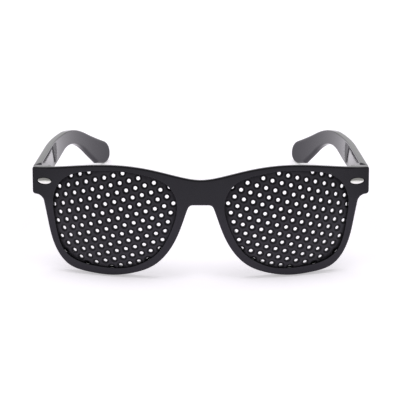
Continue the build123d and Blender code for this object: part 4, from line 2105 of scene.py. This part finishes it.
@dataclass
class Studio:
    """The pale floor, the soft light and the camera. Its lengths are in metres."""

    camera_place: Triple = (0.0, -0.6355, 0.2767)
    camera_pitch: float = 66.975
    camera_range: Pair = (0.01, 50.0)
    lens: float = 131.46
    sensor: float = 36.0
    shift: Pair = (-0.0019, 0.00125)
    table: Triple = (0.5, -1.6, 0.8)             # half its width, its front and its back
    table_white: Triple = (0.85, 0.82, 0.88)
    table_roughness: float = 0.5
    glow_white: Triple = (1.0, 0.985, 1.0)
    glow: float = 0.43                           # seen by the camera and in reflections
    lamp_place: Triple = (0.0, 0.15, 1.5)
    lamp_aim: Triple = (0.0, 0.0, 0.02)
    lamp_size: Pair = (1.6, 1.2)
    lamp_power: float = 16.0
    dim_room: float = 0.3
    card_top: Pair = (0.1, 0.3)                  # the heights over which the front card ends
    card_side: Pair = (0.6, 0.85)                # and the same across
    wall_top: Pair = (0.35, 0.6)                 # the heights over which the wall behind ends
    wall_start: Pair = (0.05, 0.3)               # and the depths over which it starts

    def camera(self) -> None:
        """Sets the camera at the photograph's viewing angle."""
        data = bpy.data.cameras.new("Camera")
        data.lens, data.sensor_width = self.lens, self.sensor
        data.shift_x, data.shift_y = self.shift
        data.clip_start, data.clip_end = self.camera_range
        camera = new_object("Camera", data)
        camera.location = self.camera_place
        camera.rotation_euler = (math.radians(self.camera_pitch), 0, 0)
        bpy.context.scene.camera = camera

    def floor(self) -> None:
        """Lays a wide white table that keeps the soft shadow."""
        mesh = bpy.data.meshes.new("Floor")
        wide, near, far = self.table
        corners = [(-wide, near, 0), (wide, near, 0), (wide, far, 0), (-wide, far, 0)]
        mesh.from_pydata(corners, [], [(0, 1, 2, 3)])
        made = bpy.data.materials.new("White_table")
        made.use_nodes = True
        nodes, board = made.node_tree.nodes, Board(made.node_tree)
        nodes.remove(nodes["Principled BSDF"])
        matt = board.first(
            "ShaderNodeBsdfDiffuse", Color=(*self.table_white, 1), Roughness=self.table_roughness
        )
        glow = board.first(
            "ShaderNodeEmission", Color=(*self.glow_white, 1), Strength=self.glow
        )
        both = board.first("ShaderNodeAddShader", at_0=matt, at_1=glow)
        ray = board.add("ShaderNodeLightPath").outputs
        seen = board.math("MAXIMUM", ray["Is Camera Ray"], ray["Is Glossy Ray"])
        mix = board.first("ShaderNodeMixShader", Fac=seen, at_1=matt, at_2=both)
        board.feed(nodes["Material Output"].inputs["Surface"], mix)
        mesh.materials.append(made)
        new_object("Floor", mesh)

    def lamp(self) -> None:
        """Hangs a soft rectangular lamp overhead, which no reflection shows."""
        data = bpy.data.lights.new("Overhead", "AREA")
        data.shape, (data.size, data.size_y) = "RECTANGLE", self.lamp_size
        data.energy = self.lamp_power
        made = new_object("Overhead", data)
        made.location = self.lamp_place
        way = Vector(self.lamp_aim) - Vector(self.lamp_place)
        made.rotation_euler = way.to_track_quat("-Z", "Y").to_euler()
        made.visible_glossy = False

    def world(self) -> None:
        """A dim room with a low white card in front and a white wall behind.

        The camera sees all of it white.
        """
        world = bpy.data.worlds.new("Room")
        bpy.context.scene.world = world
        world.use_nodes = True
        board = Board(world.node_tree)
        shader = world.node_tree.nodes["Background"]
        way = board.add(
            "ShaderNodeSeparateXYZ", Vector=board.add("ShaderNodeTexCoord").outputs["Generated"]
        ).outputs
        across = board.math("ABSOLUTE", way["X"])
        fade, rise = (1.0, 0.0), (0.0, 1.0)
        card = board.math(
            "MULTIPLY", board.ramp(way["Z"], self.card_top, fade),
            board.ramp(across, self.card_side, fade),
        )
        wall = board.math(
            "MULTIPLY", board.ramp(way["Z"], self.wall_top, fade),
            board.ramp(way["Y"], self.wall_start, rise),
        )
        bright = board.math("MAXIMUM", card, wall)
        room = board.math("MULTIPLY_ADD", bright, 1.0 - self.dim_room, self.dim_room)
        seen = board.add("ShaderNodeLightPath").outputs["Is Camera Ray"]
        board.feed(shader.inputs["Strength"], board.math("MAXIMUM", room, seen))
        board.feed(shader.inputs["Color"], (1, 1, 1, 1))

    def build(self) -> None:
        """Sets up the whole studio."""
        self.camera()
        self.floor()
        self.world()
        self.lamp()
        bpy.context.scene.view_settings.view_transform = "Standard"


def clear_start_scene() -> None:
    """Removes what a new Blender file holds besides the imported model."""
    kept = {o.name for o in [*frame["nodes"].values(), *frame["bodies"].values()]}
    for item in list(bpy.data.objects):
        if (
            item.name not in kept and item.parent is None
            and item.type in {"MESH", "LIGHT", "CAMERA"}
        ):
            bpy.data.objects.remove(item)


def main() -> None:
    """Builds the glasses and the studio."""
    logging.basicConfig(level=logging.INFO, format="%(name)s: %(message)s")
    clear_start_scene()
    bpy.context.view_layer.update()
    Studio().build()
    shop = Workshop()
    hinge, front = Hinge(), Front()
    lens = Lens(front.middle, front.opening_half, front.ball)
    arm = Arm(front, hinge)
    front.build(shop, hinge, lens)
    lens.build(shop, front.opening_line(Side.LEFT))
    for side in Side:
        front.build_trim(shop, side)
        arm.build(shop, side)
        arm.build_hardware(shop, side)


if __name__ == "__main__":
    main()
